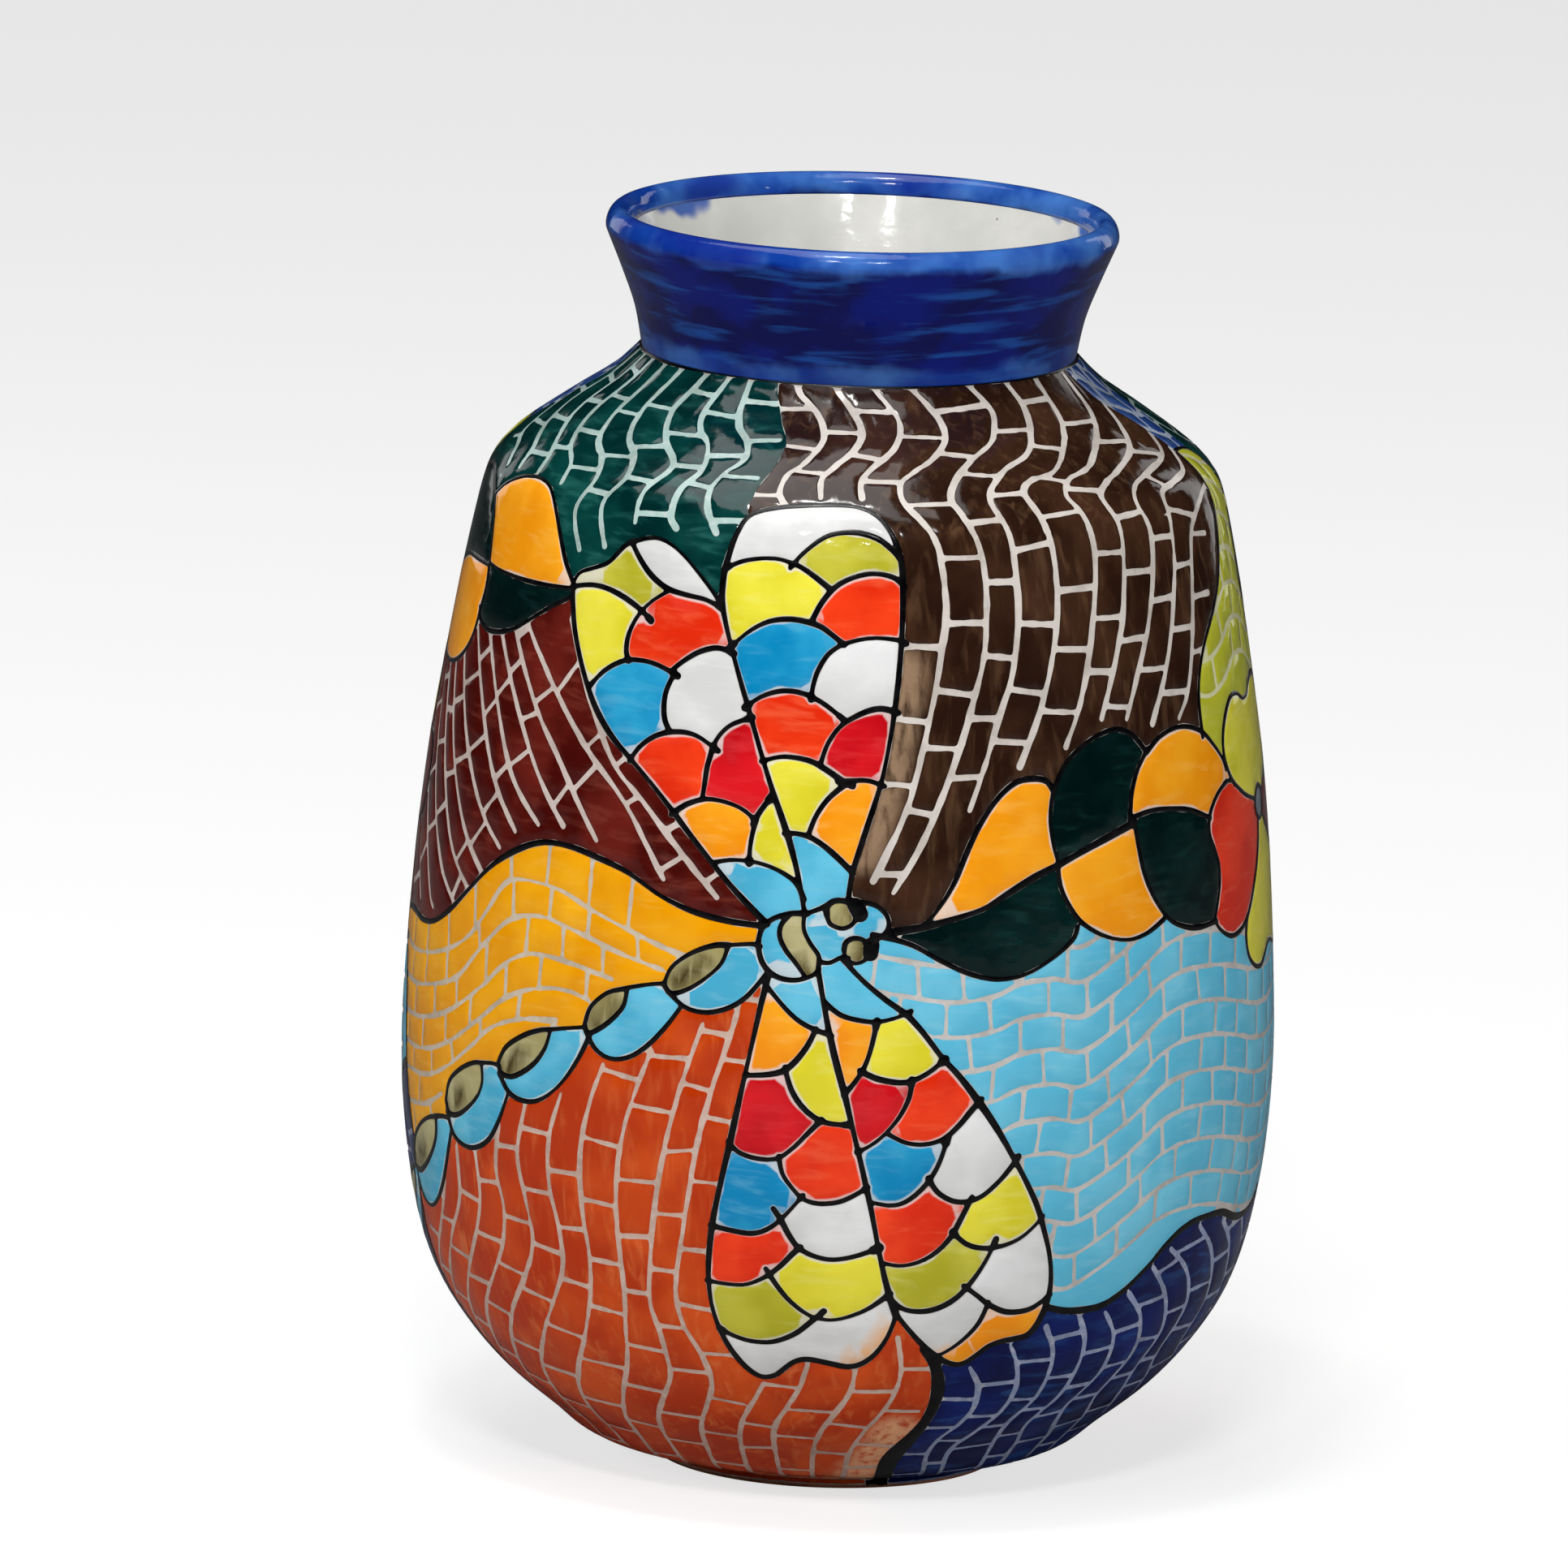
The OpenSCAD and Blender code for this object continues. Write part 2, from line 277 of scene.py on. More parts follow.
# Arches between the scales of the four wings
ARCHES = [
    # upper right
    [(-19.7, 266.5), (-16.5, 269), (-12, 270), (-8.5, 268.7), (-6, 266.5), (-3.3, 263.3)],
    [(-9.5, 268), (-7.5, 272), (-4, 276.3), (0, 277.4), (3.5, 276), (6, 273), (7.2, 270.5)],
    [(-5.8, 255.5), (-4.5, 260), (-2.5, 264), (0, 266.3), (3, 267.4), (6, 266.6), (7.8, 264.3)],
    [(-17.8, 247.5), (-15, 252), (-12, 254.8), (-8.5, 255.6), (-5, 254.5), (-3, 252.6), (-1, 250)],
    [(-5.4, 236.5), (-5.2, 240), (-4.5, 244), (-3, 248), (-0.5, 250.5), (3, 251.8), (6.5, 251.5),
     (8, 250.6)],
    [(-14.8, 233.5), (-12.5, 236.5), (-9.5, 238.2), (-6.5, 237.8), (-3.5, 235.5), (-0.6, 231.8)],
    [(-3.7, 221), (-2.8, 226), (-1, 230.5), (2, 233.7), (4.5, 234.8), (7, 233.8)],
    [(-12, 220.8), (-9, 222.3), (-5.5, 221.8), (-3, 219.8), (-0.5, 217), (0.8, 216)],
    [(-1.2, 217), (1, 217.3), (3, 217.3), (5.2, 216)],
    [(-5, 203.5), (-4, 208.5), (-2.3, 213), (0.2, 216.8)],
    [(-8.3, 203.7), (-6.5, 203.9), (-4.5, 203), (-2.5, 200.8), (-0.5, 197.8), (1.2, 194.8)],
    # upper left
    [(-36, 270.3), (-34, 266.5), (-31.5, 262.8), (-28.5, 260.2), (-25, 259.2), (-22, 258.6), (-19.4, 256.8)],
    [(-46.2, 256.7), (-43, 258), (-40, 258.2), (-36.5, 257), (-33, 254.6), (-30.6, 252)],
    [(-28, 260), (-31, 256.5), (-33, 252.5), (-34.1, 248), (-34.2, 244), (-33.6, 241.6)],
    [(-39.8, 234), (-37.5, 238.3), (-34.5, 241.3), (-31.5, 242.1), (-28.5, 241.5), (-25.3, 239.5)],
    [(-26.6, 240.3), (-24.7, 243.2), (-22.2, 246), (-19.5, 247.3), (-17, 246.3)],
    [(-25.8, 240.3), (-26.8, 236), (-27, 232), (-26.6, 228.5), (-25.6, 225.8)],
    [(-31.5, 217.5), (-30, 221.5), (-27.5, 224.7), (-24.5, 226.1), (-21.5, 225.6), (-18.2, 222.5)],
    [(-19.2, 222.8), (-18.2, 226.3), (-16.5, 229.2), (-13.6, 231.3)],
    [(-18.9, 223.8), (-19.6, 218.5), (-19.8, 213.5), (-20, 210.3)],
    [(-24.3, 206), (-22, 209), (-19.3, 210.6), (-16.5, 210.3), (-14, 208.8), (-12.2, 206.3)],
    [(-12.6, 205.5), (-11.6, 209), (-10.2, 212.5)],
    [(-12.1, 207), (-12.6, 203), (-12.8, 199.5), (-12.8, 196)],
    [(-18, 195.3), (-15, 196.5), (-11.5, 196.2), (-8.5, 194.5), (-6.3, 191.8), (-5.2, 188)],
    # lower left
    [(-9.7, 166.5), (-7, 161), (-5, 158), (-3, 156.3), (-0.9, 155)],
    [(-3, 156.7), (-4, 152.5), (-5.5, 148.5), (-7, 146), (-9, 144.8), (-12.2, 144.2)],
    [(-6.9, 147), (-6.1, 142), (-4.8, 138), (-3, 135), (-1, 133.5), (1.8, 133.2)],
    [(-14, 127.5), (-12.5, 125), (-10, 123.8), (-7.5, 124.2), (-5.5, 127), (-3.8, 130.5), (-1.9, 134.3)],
    [(-7.3, 124.8), (-6.8, 120.5), (-5.5, 117), (-4, 114.3), (-2, 113.3), (0.5, 113.8), (2.5, 115.5),
     (4.3, 117.7)],
    [(-16.3, 106), (-13, 105), (-10.5, 104.8), (-8.3, 106.5), (-6.3, 110), (-4, 115.3)],
    [(-7.9, 111.5), (-6.8, 108.5), (-5.8, 105), (-4.5, 101.8), (-2.5, 99.8), (0, 99), (3, 100),
     (6.2, 102.3)],
    [(-17, 91.5), (-14, 91), (-11.5, 91.3), (-9, 93.5), (-7, 96.5), (-5.2, 100.2), (-4.2, 102)],
    [(-8.8, 95.8), (-7.3, 91.5), (-5.5, 87.5), (-3, 84), (-0.5, 82.8), (2, 83.5), (5, 86), (8, 90.2)],
    [(-15.5, 78.7), (-13.5, 76.8), (-11, 75.6), (-8, 75.8), (-5, 78.3), (-2.8, 81.8), (-0.9, 85.2)],
    # lower right
    [(-2.2, 163.5), (0, 160.3), (2.5, 159), (5, 158.7), (7.5, 159.8), (9.3, 161.3)],
    [(4.9, 159), (4.3, 153), (3.5, 148), (2.3, 144), (0.8, 140.5)],
    [(2.8, 146.7), (5, 144.8), (8, 143.8), (10, 144.5), (12, 146.5), (14, 149.5)],
    [(9.6, 144.5), (9.3, 140), (8, 135), (6, 130.5), (4.3, 128), (2.8, 126.5)],
    [(6.8, 131), (9, 129), (11.5, 128.5), (14, 129.8), (16, 133), (17.7, 136.8), (19, 139.4)],
    [(4.8, 114), (7, 113.2), (9, 113.8), (11, 116.5), (12.7, 120.5), (13.8, 125), (14.5, 130)],
    [(12.2, 120), (13.5, 116.5), (15.5, 114.2), (17.5, 113.8), (19.5, 115), (21.5, 118), (23.2, 121.5),
     (24.4, 124.6)],
    [(6.8, 98.3), (9, 97.6), (11.5, 98.5), (13.8, 101), (15.7, 105), (17, 110), (18.2, 115)],
    [(15.8, 106.2), (17.8, 103), (20, 101.7), (22.5, 101.8), (25, 103.2), (27, 105.8), (28.6, 109)],
    [(8.2, 88.5), (10, 86), (12.5, 85.3), (15, 86.3), (17.3, 89), (19.3, 93.5), (21, 99), (22, 103.8)],
    [(18, 92), (20, 89.3), (22, 86.5), (24.5, 84.3), (27, 84), (29, 85), (31.2, 88)],
    [(21.9, 87.3), (21, 82), (19.5, 78), (17.5, 74.5), (15.2, 71.8)],
]
# Each segment of the tail: top of its leaf, bottom of its leaf, top of its lobe, bottom of its lobe
TAIL = [
    [[(-23.7, 164.5), (-22.7, 169), (-20, 173), (-17, 175.3), (-15, 175.7)],
     [(-15, 175.7), (-15.9, 171), (-18, 167), (-20.5, 163.8), (-22.6, 162.6), (-23.7, 164.5)],
     [(-15.4, 175.6), (-12, 176.4), (-10.7, 176)],
     [(-23.2, 163), (-20.5, 159.5), (-17.5, 158.8), (-14.5, 160.5), (-12, 164), (-9.6, 170)]],
    [[(-35.2, 152), (-34.4, 156.5), (-32, 160.5), (-29.2, 162.3)],
     [(-29, 162.4), (-29.4, 158), (-31, 154.3), (-33, 151.3), (-34.6, 150), (-35.2, 152)],
     [(-29.6, 162.2), (-26, 164), (-23.5, 164.8)],
     [(-35, 150.3), (-33.2, 146.2), (-30.8, 144.6), (-28, 145.8), (-25.3, 149.6), (-22.8, 155), (-21, 160)]],
    [[(-50.2, 138), (-48.8, 142.2), (-45.7, 146), (-42.7, 148.3), (-40.8, 149)],
     [(-40.8, 149), (-41.5, 144.5), (-43, 140.5), (-45, 137.5), (-47.5, 135.2), (-49.6, 135.6),
      (-50.2, 138)],
     [(-41.2, 148.9), (-38, 150.2), (-35, 151.3)],
     [(-50, 135.3), (-47.7, 131), (-44.5, 130), (-41.5, 131.8), (-38.5, 136.5), (-36, 143), (-34.3, 149.5)]],
    [[(-62.7, 124), (-61.6, 129.3), (-58.5, 133.5), (-55.4, 136), (-53.6, 136.4)],
     [(-53.8, 136.4), (-53.5, 132), (-54.5, 128), (-57, 124), (-59.5, 121.4), (-61.8, 121), (-62.7, 124)],
     [(-54.2, 136.4), (-51.5, 137.2), (-49.8, 137)],
     [(-62.4, 121.2), (-60.7, 116), (-58, 114.2), (-55, 114.8), (-52, 118), (-49.7, 124), (-48, 131)]],
    [[(-77.5, 104), (-75.7, 109.8), (-72, 114.5), (-68.5, 117.3), (-65.8, 118.4)],
     [(-66, 118.4), (-66.3, 113.5), (-68, 109), (-71, 104.5), (-74.5, 101.4), (-77, 101.4), (-77.5, 104)],
     [(-66.4, 118.3), (-64, 119.3), (-62, 119.6)],
     [(-77, 101.4), (-75.2, 95.6), (-72.5, 93.5), (-69.5, 94.8), (-66.5, 99), (-64, 105.5), (-61.2, 117)]],
    [[(-90, 87), (-87, 93.5), (-83, 98), (-78.5, 100.8)],
     [(-78.8, 100.8), (-79.7, 96), (-82.5, 91), (-86.5, 86.3), (-89.3, 85.5), (-90, 87)],
     [(-79, 100.8), (-78, 101.2), (-77, 101.6)],
     [(-89.5, 85.5), (-86.5, 80.5), (-83, 81), (-79.5, 86.5), (-77.3, 93), (-76.3, 99)]],
]
# Thorax, head and eyes
HEAD = [
    (1.4, [(-4.6, 184.6), (-7, 184.4), (-9.3, 182.8), (-10.7, 180), (-11, 176), (-10.3, 171.8), (-8.6, 169),
           (-6.2, 168.2), (-4, 169.3), (-2.8, 171.2)]),
    (1.1, [(-6.9, 184.3), (-8.1, 181.5), (-8.2, 178.5), (-7.3, 175.3), (-6, 172.5), (-4.8, 169.6)]),
    (1.1, [(-5, 185.5), (-5.1, 181), (-4.2, 177.5), (-3, 174.5), (-3, 171.5)]),
    (1.1, [(-3, 173.2), (-1.6, 172.8), (0, 174.3), (1, 174.2)]),
    (1.2, [(-5, 184.5), (-3.2, 185.8), (-1.8, 187.3)]),
    (1.3, [(0.4, 188), (3.4, 187.6), (5, 186.3), (6, 184), (6, 181.5), (5, 179.3), (3, 178)]),
    (1.4, [(-2.1, 184.5), (-1.6, 182.3), (0, 181.3), (1.4, 182.6), (1.7, 185), (0.6, 187.7), (-1.1, 188),
           (-2.1, 186.5), (-2.1, 184.5)]),
    (1.3, [(0.3, 176), (0.7, 173.8), (2, 172.9), (3.2, 174), (3.5, 176.3), (2.8, 178.6), (1.5, 179),
           (0.5, 177.9), (0.3, 176)]),
    (3.8, [(1.6, 187), (2.3, 184.9)]),
    (4.4, [(3.9, 177.4), (3.8, 175.4)]),
]
CHAINS = [
    # right
    (1.4, [(6, 180.5), (10.5, 182.3), (13, 187), (15, 193), (16.5, 199.5), (18.5, 206.5), (21, 212.5),
           (23.8, 216.3), (26.5, 217), (28.5, 216.2), (29.4, 214)]),
    (1.8, [(6, 180.5), (10.5, 181.8), (15, 183.8), (19, 186), (22, 189), (26, 192.8), (30, 195.6),
           (34, 198.5),
           (39, 201.6), (43, 203.8)]),
    (1.3, [(4, 180), (9, 177.7), (13, 173.7), (17, 170.3), (21, 168.6), (25, 169.5), (29, 173), (32, 177),
           (32.8, 180)]),
    (1.3, [(29.9, 195), (30.3, 190), (31.5, 185.5), (33.5, 181), (37, 177.2), (41, 175.4), (44.5, 176.2),
           (48, 179)]),
    (1.3, [(42.9, 204.3), (43.5, 198), (44.4, 191), (46, 185), (48.8, 179), (52, 176.2), (55.5, 175),
           (60, 175.3)]),
    (1.3, [(30.1, 195), (29.2, 201), (28.9, 207), (29.6, 213.5), (31.7, 220), (35, 224.2), (38.5, 226.6),
           (41.5, 226.8), (44, 224.7), (46.3, 220.3)]),
    (1.3, [(46.6, 221.3), (44.2, 216.5), (42.8, 211), (42.3, 206), (42.4, 203)]),
    (1.3, [(46.2, 220.2), (49, 223.3), (52.5, 224.8), (56, 224.4), (59.5, 222.2), (62, 218.8), (64.5, 214.5),
           (65.4, 211)]),
    (1.3, [(42.2, 204.9), (46.5, 206), (51, 205.4), (55, 204), (59.7, 200.8)]),
    # left
    (1.2, [(-46.2, 258), (-48.5, 262.5), (-50.5, 267.5), (-52.5, 272.3), (-55, 276.8), (-58, 279.6),
           (-62, 280.4), (-66.5, 279.2), (-71, 276), (-74.8, 272)]),
    (1.2, [(-45.6, 256.4), (-52, 255.6), (-58, 255.3), (-64, 255.4), (-70, 255.9)]),
    (1.2, [(-74.8, 272.2), (-72.5, 267.5), (-71, 262), (-69.8, 256), (-69.2, 250), (-69.9, 243.5)]),
    (1.2, [(-45.6, 254.5), (-50, 250.7), (-54, 246.7), (-58, 243), (-62, 241), (-66, 240.5), (-69, 242),
           (-70.2, 245)]),
    (1.2, [(-69.5, 255.3), (-75, 255.3), (-82, 254.7), (-88, 251), (-92, 244)]),
    (1.2, [(-69.8, 244), (-70.4, 239), (-72, 234.5), (-75, 230.6), (-79, 228.3), (-84, 228), (-88, 230.5),
           (-91, 236), (-92, 244)]),
    (1.2, [(-74.5, 271.8), (-78, 275.3), (-82, 277.3), (-87, 276.8), (-91, 272), (-93.5, 263), (-93.6, 252),
           (-92, 243.5)]),
]
FLOWER = [
    (1.3, [(65.3, 208.4), (62.7, 206.7), (60.6, 204), (59.3, 200.7), (59.1, 197), (60.2, 193), (61.2, 189),
           (61.2, 184), (60.3, 179), (59.7, 175.3), (61.7, 172), (64.6, 170.2), (67.5, 171), (70, 173.5),
           (72.5, 178.5), (75, 184.5), (76.7, 190.5), (77.4, 195.4)]),
    (1.3, [(64.6, 208.3), (67, 208), (69, 205.8), (72, 203), (76.2, 200.6)]),
    (1.4, [(68, 206.7), (66.2, 210.5), (65.2, 215.5), (65.8, 220.5), (67.6, 225), (70, 228), (73, 228),
           (75.6, 226), (78.5, 226.4), (81, 229), (85, 229.6), (89, 227.5), (92.3, 222.5), (93.3, 215.5),
           (91, 208.7), (86, 204), (81, 201.3)]),
    (1.3, [(69.8, 173.4), (69.1, 168.5), (70, 163.5), (72.5, 160.2), (75.5, 159.2), (78, 161.3),
           (80.5, 163.4), (84, 162.6), (87, 161), (90.5, 161.7), (92.6, 166), (92.8, 173), (90.3, 181),
           (86, 188), (80.6, 195.4)]),
    (1.3, [(81, 201), (86, 205), (91, 208.8), (95.5, 208), (98.2, 203), (98.5, 196), (96.5, 189), (92, 185),
           (87.2, 187)]),
    (1.5, [(76.2, 199), (76.8, 196.6), (78.6, 195), (80.4, 196), (81.3, 198.8), (80.8, 201.7), (79, 203.2),
           (77.2, 202), (76.2, 199)]),
]

# Patches filled with one enamel: a point inside each
CELLS = {
    "red_orange_scales": [(2, 260), (-8, 231), (-26, 250), (-25, 219), (-2, 122), (-12, 97), (13, 136),
                          (11, 107)],
    "crimson_scales": [(3, 226), (-15.5, 221), (-9, 134), (6.5, 138)],
    "orange_scales": [(2, 208), (-18.5, 204), (-8, 153), (1.2, 151), (24.5, 80)],
    "yellow_scales": [(-13, 262), (-6, 214), (-40, 250), (-10.8, 204), (-3, 142), (1, 91), (8, 152),
                      (22, 110)],
    "olive_scales": [(0, 272), (-40, 261), (-10, 82), (13, 92)],
    "blue_scales": [(-9, 248), (-32, 234), (-12, 114), (9, 122)],
    "white_scales": [(-12, 277), (2, 244), (-28, 266), (-22, 238), (0, 105), (0, 76), (18, 124), (25, 94),
                     (15.5, 79)],
    "dragonfly_body": [(-2.5, 194), (-11, 190), (-6.5, 164), (2.5, 164.5), (-9.3, 176), (3.5, 182),
                       (-17, 163),
                       (-28, 152), (-41, 138), (-54, 122), (-69, 100), (-83.5, 85)],
    "cream_leaves": [(-6.3, 178), (-19, 169), (-32, 156), (-46, 141), (-58, 128), (-71, 108), (-84, 92),
                     (-0.2, 184.8), (1.9, 175.9)],
    "orange_leaves": [(22, 203), (38, 188), (54, 214), (-61, 268), (-80, 241)],
    "green_leaves": [(20, 178), (37, 214), (52, 190), (-60, 248), (-83, 266)],
    "yellow_petals": [(78, 216), (82, 176)],
    "red_petals": [(67, 188)],
    "maroon_petals": [(92, 196)],
    "flower_eyes": [(78.6, 199)],
}


def shift(line, a=0.0, s=0.0):
    """The same line moved round and up the vase."""
    return [(p[0] + a, p[1] + s) for p in line]


BROWN = [
    [(-17, 326), (-14.6, 321), (-11.4, 318), (-8.5, 314), (-7, 308), (-7.6, 304), (-9.9, 298), (-12.3, 294),
     (-12.9, 288), (-11.4, 284)],
    [(-7, 326), (-4.9, 322), (-2, 318), (0.4, 313), (1, 308), (-0.8, 303), (-4.3, 297), (-6.1, 293),
     (-5.8, 287)],
    [(2.5, 326), (5.1, 322), (7.8, 318), (9.5, 314), (9.2, 309), (6.9, 303), (3.3, 298), (1, 293),
     (1.1, 287)],
    [(12, 326), (14.3, 323), (17.5, 318), (19.3, 313), (18.7, 307), (15.1, 301), (10.4, 296), (7.8, 292),
     (8.1, 286), (10.4, 281), (12.5, 276), (13.5, 269), (14, 258), (13.1, 247), (11.9, 236), (10.1, 222),
     (8.4, 211), (6.3, 202), (3.9, 193)],
    [(28.5, 326), (30.5, 323), (33, 318), (33, 314), (29, 306), (22.7, 300), (18.4, 294), (16.2, 287.5),
     (17.5, 282), (19.3, 275), (20.2, 267), (20.2, 257), (19.6, 247), (17.8, 236), (15.7, 225), (13.1, 213),
     (10.1, 201), (6.6, 190)],
    [(41, 326), (43.2, 317), (40.4, 309), (35.4, 301), (28.4, 296), (24.1, 290), (23, 285), (24.5, 278),
     (25.2, 269), (25.2, 256), (23.8, 242), (21.6, 232), (19.2, 220), (17, 210)],
    [(53, 326), (52.8, 316), (50.3, 309), (44.6, 301), (38.3, 294), (32.6, 292), (29.8, 288), (30.8, 281),
     (31.9, 272), (31.9, 258), (30.5, 246), (28, 233), (24.5, 220)],
    [(67, 326), (65.9, 315), (61.6, 308), (54.5, 301), (46.8, 294), (40.4, 291), (37.7, 286), (39, 280),
     (39.7, 270), (38.6, 258), (36.8, 245), (34.7, 234), (31.9, 224)],
    [(74, 313), (68.7, 304), (63, 297), (54.5, 292), (47.5, 288), (44.6, 284), (45.7, 276), (45.3, 266),
     (43.9, 254), (41.1, 241), (38.3, 230)],
    [(76.5, 298), (71.5, 292), (61.6, 289), (54.5, 286), (51.7, 281), (52.6, 273), (51.4, 262), (48.9, 250),
     (46, 240), (42.9, 229)],
    [(77.2, 292), (72.9, 286), (65.9, 284), (59.8, 282), (58.4, 274), (57.4, 264), (54.5, 249), (51.7, 238),
     (48, 227)],
    [(78, 280), (72.2, 278), (66.6, 274), (63.7, 269), (61.6, 257), (59.5, 244), (57, 233), (54, 227)],
]
TEAL = [
    [(-29, 326), (-28.5, 316), (-26.2, 309), (-22.6, 304), (-21.4, 298), (-23.8, 293), (-25, 287),
     (-24.1, 281),
     (-21.7, 275)],
    [(-35, 326), (-37, 314), (-34.9, 307), (-30.8, 302), (-29, 297), (-28.5, 292), (-30.3, 286), (-30, 278),
     (-28.5, 275)],
    [(-42, 326), (-45.5, 314), (-43.8, 307), (-39.6, 300), (-35.5, 295), (-34.6, 291), (-36.7, 284),
     (-36.1, 275)],
    [(-52, 326), (-54.4, 314), (-52.6, 306), (-49.1, 299), (-44.3, 294), (-42, 287), (-43.5, 278),
     (-41, 268)],
    [(-60, 326), (-61.7, 314), (-60.3, 305), (-56.1, 296), (-50.8, 291), (-47.9, 284), (-48.8, 275),
     (-46, 266)],
    [(-68, 326), (-69.7, 312), (-67.6, 302), (-62.6, 293), (-56.7, 287), (-55, 281)],
    [(-75, 326), (-77.1, 311), (-74.4, 301), (-68.5, 293), (-64.4, 287), (-63, 282)],
    [(-82, 326), (-85, 314), (-84.5, 303), (-79.2, 294), (-72.1, 287), (-70, 281)],
    [(-88, 326), (-92, 312), (-91, 300), (-85.6, 289), (-79.2, 285), (-75.3, 280)],
]
MAROON = [
    [(-45, 249), (-40, 232), (-33.8, 216), (-28, 207), (-17, 187)],
    [(-55, 246), (-47.3, 233), (-39, 219), (-31.4, 207), (-24.7, 190)],
    [(-57.5, 243), (-50.2, 227), (-43.2, 214), (-35.5, 197)],
    [(-61, 241), (-52.6, 222), (-46.7, 209), (-41.4, 199)],
    [(-64.7, 240), (-58.5, 223), (-52.6, 208), (-46, 198)],
    [(-69.4, 240), (-63.2, 223), (-56.7, 206), (-50.5, 195)],
    [(-73, 232), (-67.4, 216), (-59.7, 199), (-53.5, 190)],
    [(-76.2, 228), (-70.3, 209), (-63.2, 192), (-57.3, 183)],
    [(-79.7, 227), (-73.2, 205), (-66.8, 187), (-60.6, 178)],
    [(-83, 226), (-76.2, 198), (-69.7, 181), (-64, 173)],
    [(-87, 222), (-80, 194), (-73.2, 173), (-70.9, 169)],
    [(-91, 212), (-84, 188), (-77.5, 169)],
    [(-92, 192), (-87, 178), (-84, 168)],
]
AMBER = [
    [(-92, 158), (-88, 157), (-79, 156), (-70.3, 158), (-63.2, 162), (-58.5, 167), (-55, 174), (-51.4, 182),
     (-47.3, 184), (-41, 183.5), (-36, 180.5), (-30, 177), (-24, 173.5), (-21, 172)],
    [(-92, 149), (-79, 148), (-70.3, 150), (-61.5, 155), (-56, 164), (-50.2, 173), (-44.3, 176),
     (-38.4, 174.5), (-30, 170.5), (-24, 168)],
    [(-92, 141), (-79, 140), (-70, 142), (-62, 147), (-55, 155), (-49.7, 163), (-44.3, 166.7), (-37.3, 166),
     (-31.4, 164)],
    [(-92, 133), (-79, 132.5), (-70, 134), (-62, 139), (-55, 147), (-49.7, 154), (-44.3, 158), (-39, 159.4),
     (-34.9, 158)],
    [(-80, 126), (-70, 127.5), (-63, 132), (-57, 139), (-52, 146), (-46, 150), (-40, 151.5)],
    [(-78, 118), (-70, 120), (-64, 125)],
]
SKY_ROW = [(3, 141), (9, 139), (15, 137.5), (20.6, 138.7), (24.2, 141.3), (29.1, 142), (33.4, 140.7),
           (38.3, 144.7), (43.3, 150), (47.5, 154.7), (52.5, 156.7), (59.5, 156), (66.6, 153.3), (71, 151.3),
           (78, 150), (86, 152), (96, 155)]
SKY = [shift(SKY_ROW, s=8.6 * i) for i in range(-6, 5)]
NAVY = [
    [(21, 68), (23.4, 61), (24.2, 53), (23.1, 46), (21, 39), (20.6, 31), (22, 22), (24, 12), (26, 2)],
    [(26.6, 74), (28.8, 67), (30.2, 59), (29.8, 50), (27.3, 41), (25.2, 33), (26.3, 23), (29, 12), (31, 2)],
    [(31.6, 79), (34.1, 71), (35.1, 63), (35.1, 54), (33, 45), (33.4, 37), (35.1, 29), (38, 15), (40, 2)],
    [(36.9, 81), (39.4, 73), (40.4, 63), (40.1, 54), (38, 45), (38.3, 39), (41.1, 30), (44, 15), (46, 2)],
    [(41.5, 81), (45, 73), (46.4, 63), (45.7, 57), (44, 49), (45.4, 41), (49.6, 30), (52, 15), (54, 2)],
    [(45.4, 85), (49.6, 77), (51.8, 66), (50.7, 57), (50.3, 50), (53.9, 39), (58, 26), (60, 15), (62, 2)],
    [(49.3, 91), (53.9, 82), (56.7, 71), (56, 59), (58.8, 47), (64, 34), (67, 18), (69, 2)],
    [(52.5, 95), (58.1, 87), (61, 77), (60.2, 63), (64.5, 51), (70, 36), (74, 20), (76, 2)],
    [(58.8, 99), (64.5, 90), (68, 77), (67.7, 65), (71.6, 55), (77, 38), (81, 20), (83, 2)],
    [(65.9, 98), (71, 90), (74.5, 78), (75, 68), (79, 56), (84, 38), (88, 20), (90, 2)],
    [(74, 97), (78.5, 88), (82, 77), (83, 67), (87, 54), (91, 38), (95, 20), (97, 2)],
    [(82, 99), (87, 90), (90, 78), (91, 66), (95, 52), (98, 38), (101, 20), (103, 2)],
    [(87, 106), (93, 96), (97, 84), (99, 70), (102, 55), (105, 38)],
    [(93, 118), (98, 108), (103, 96), (106, 84)],
]
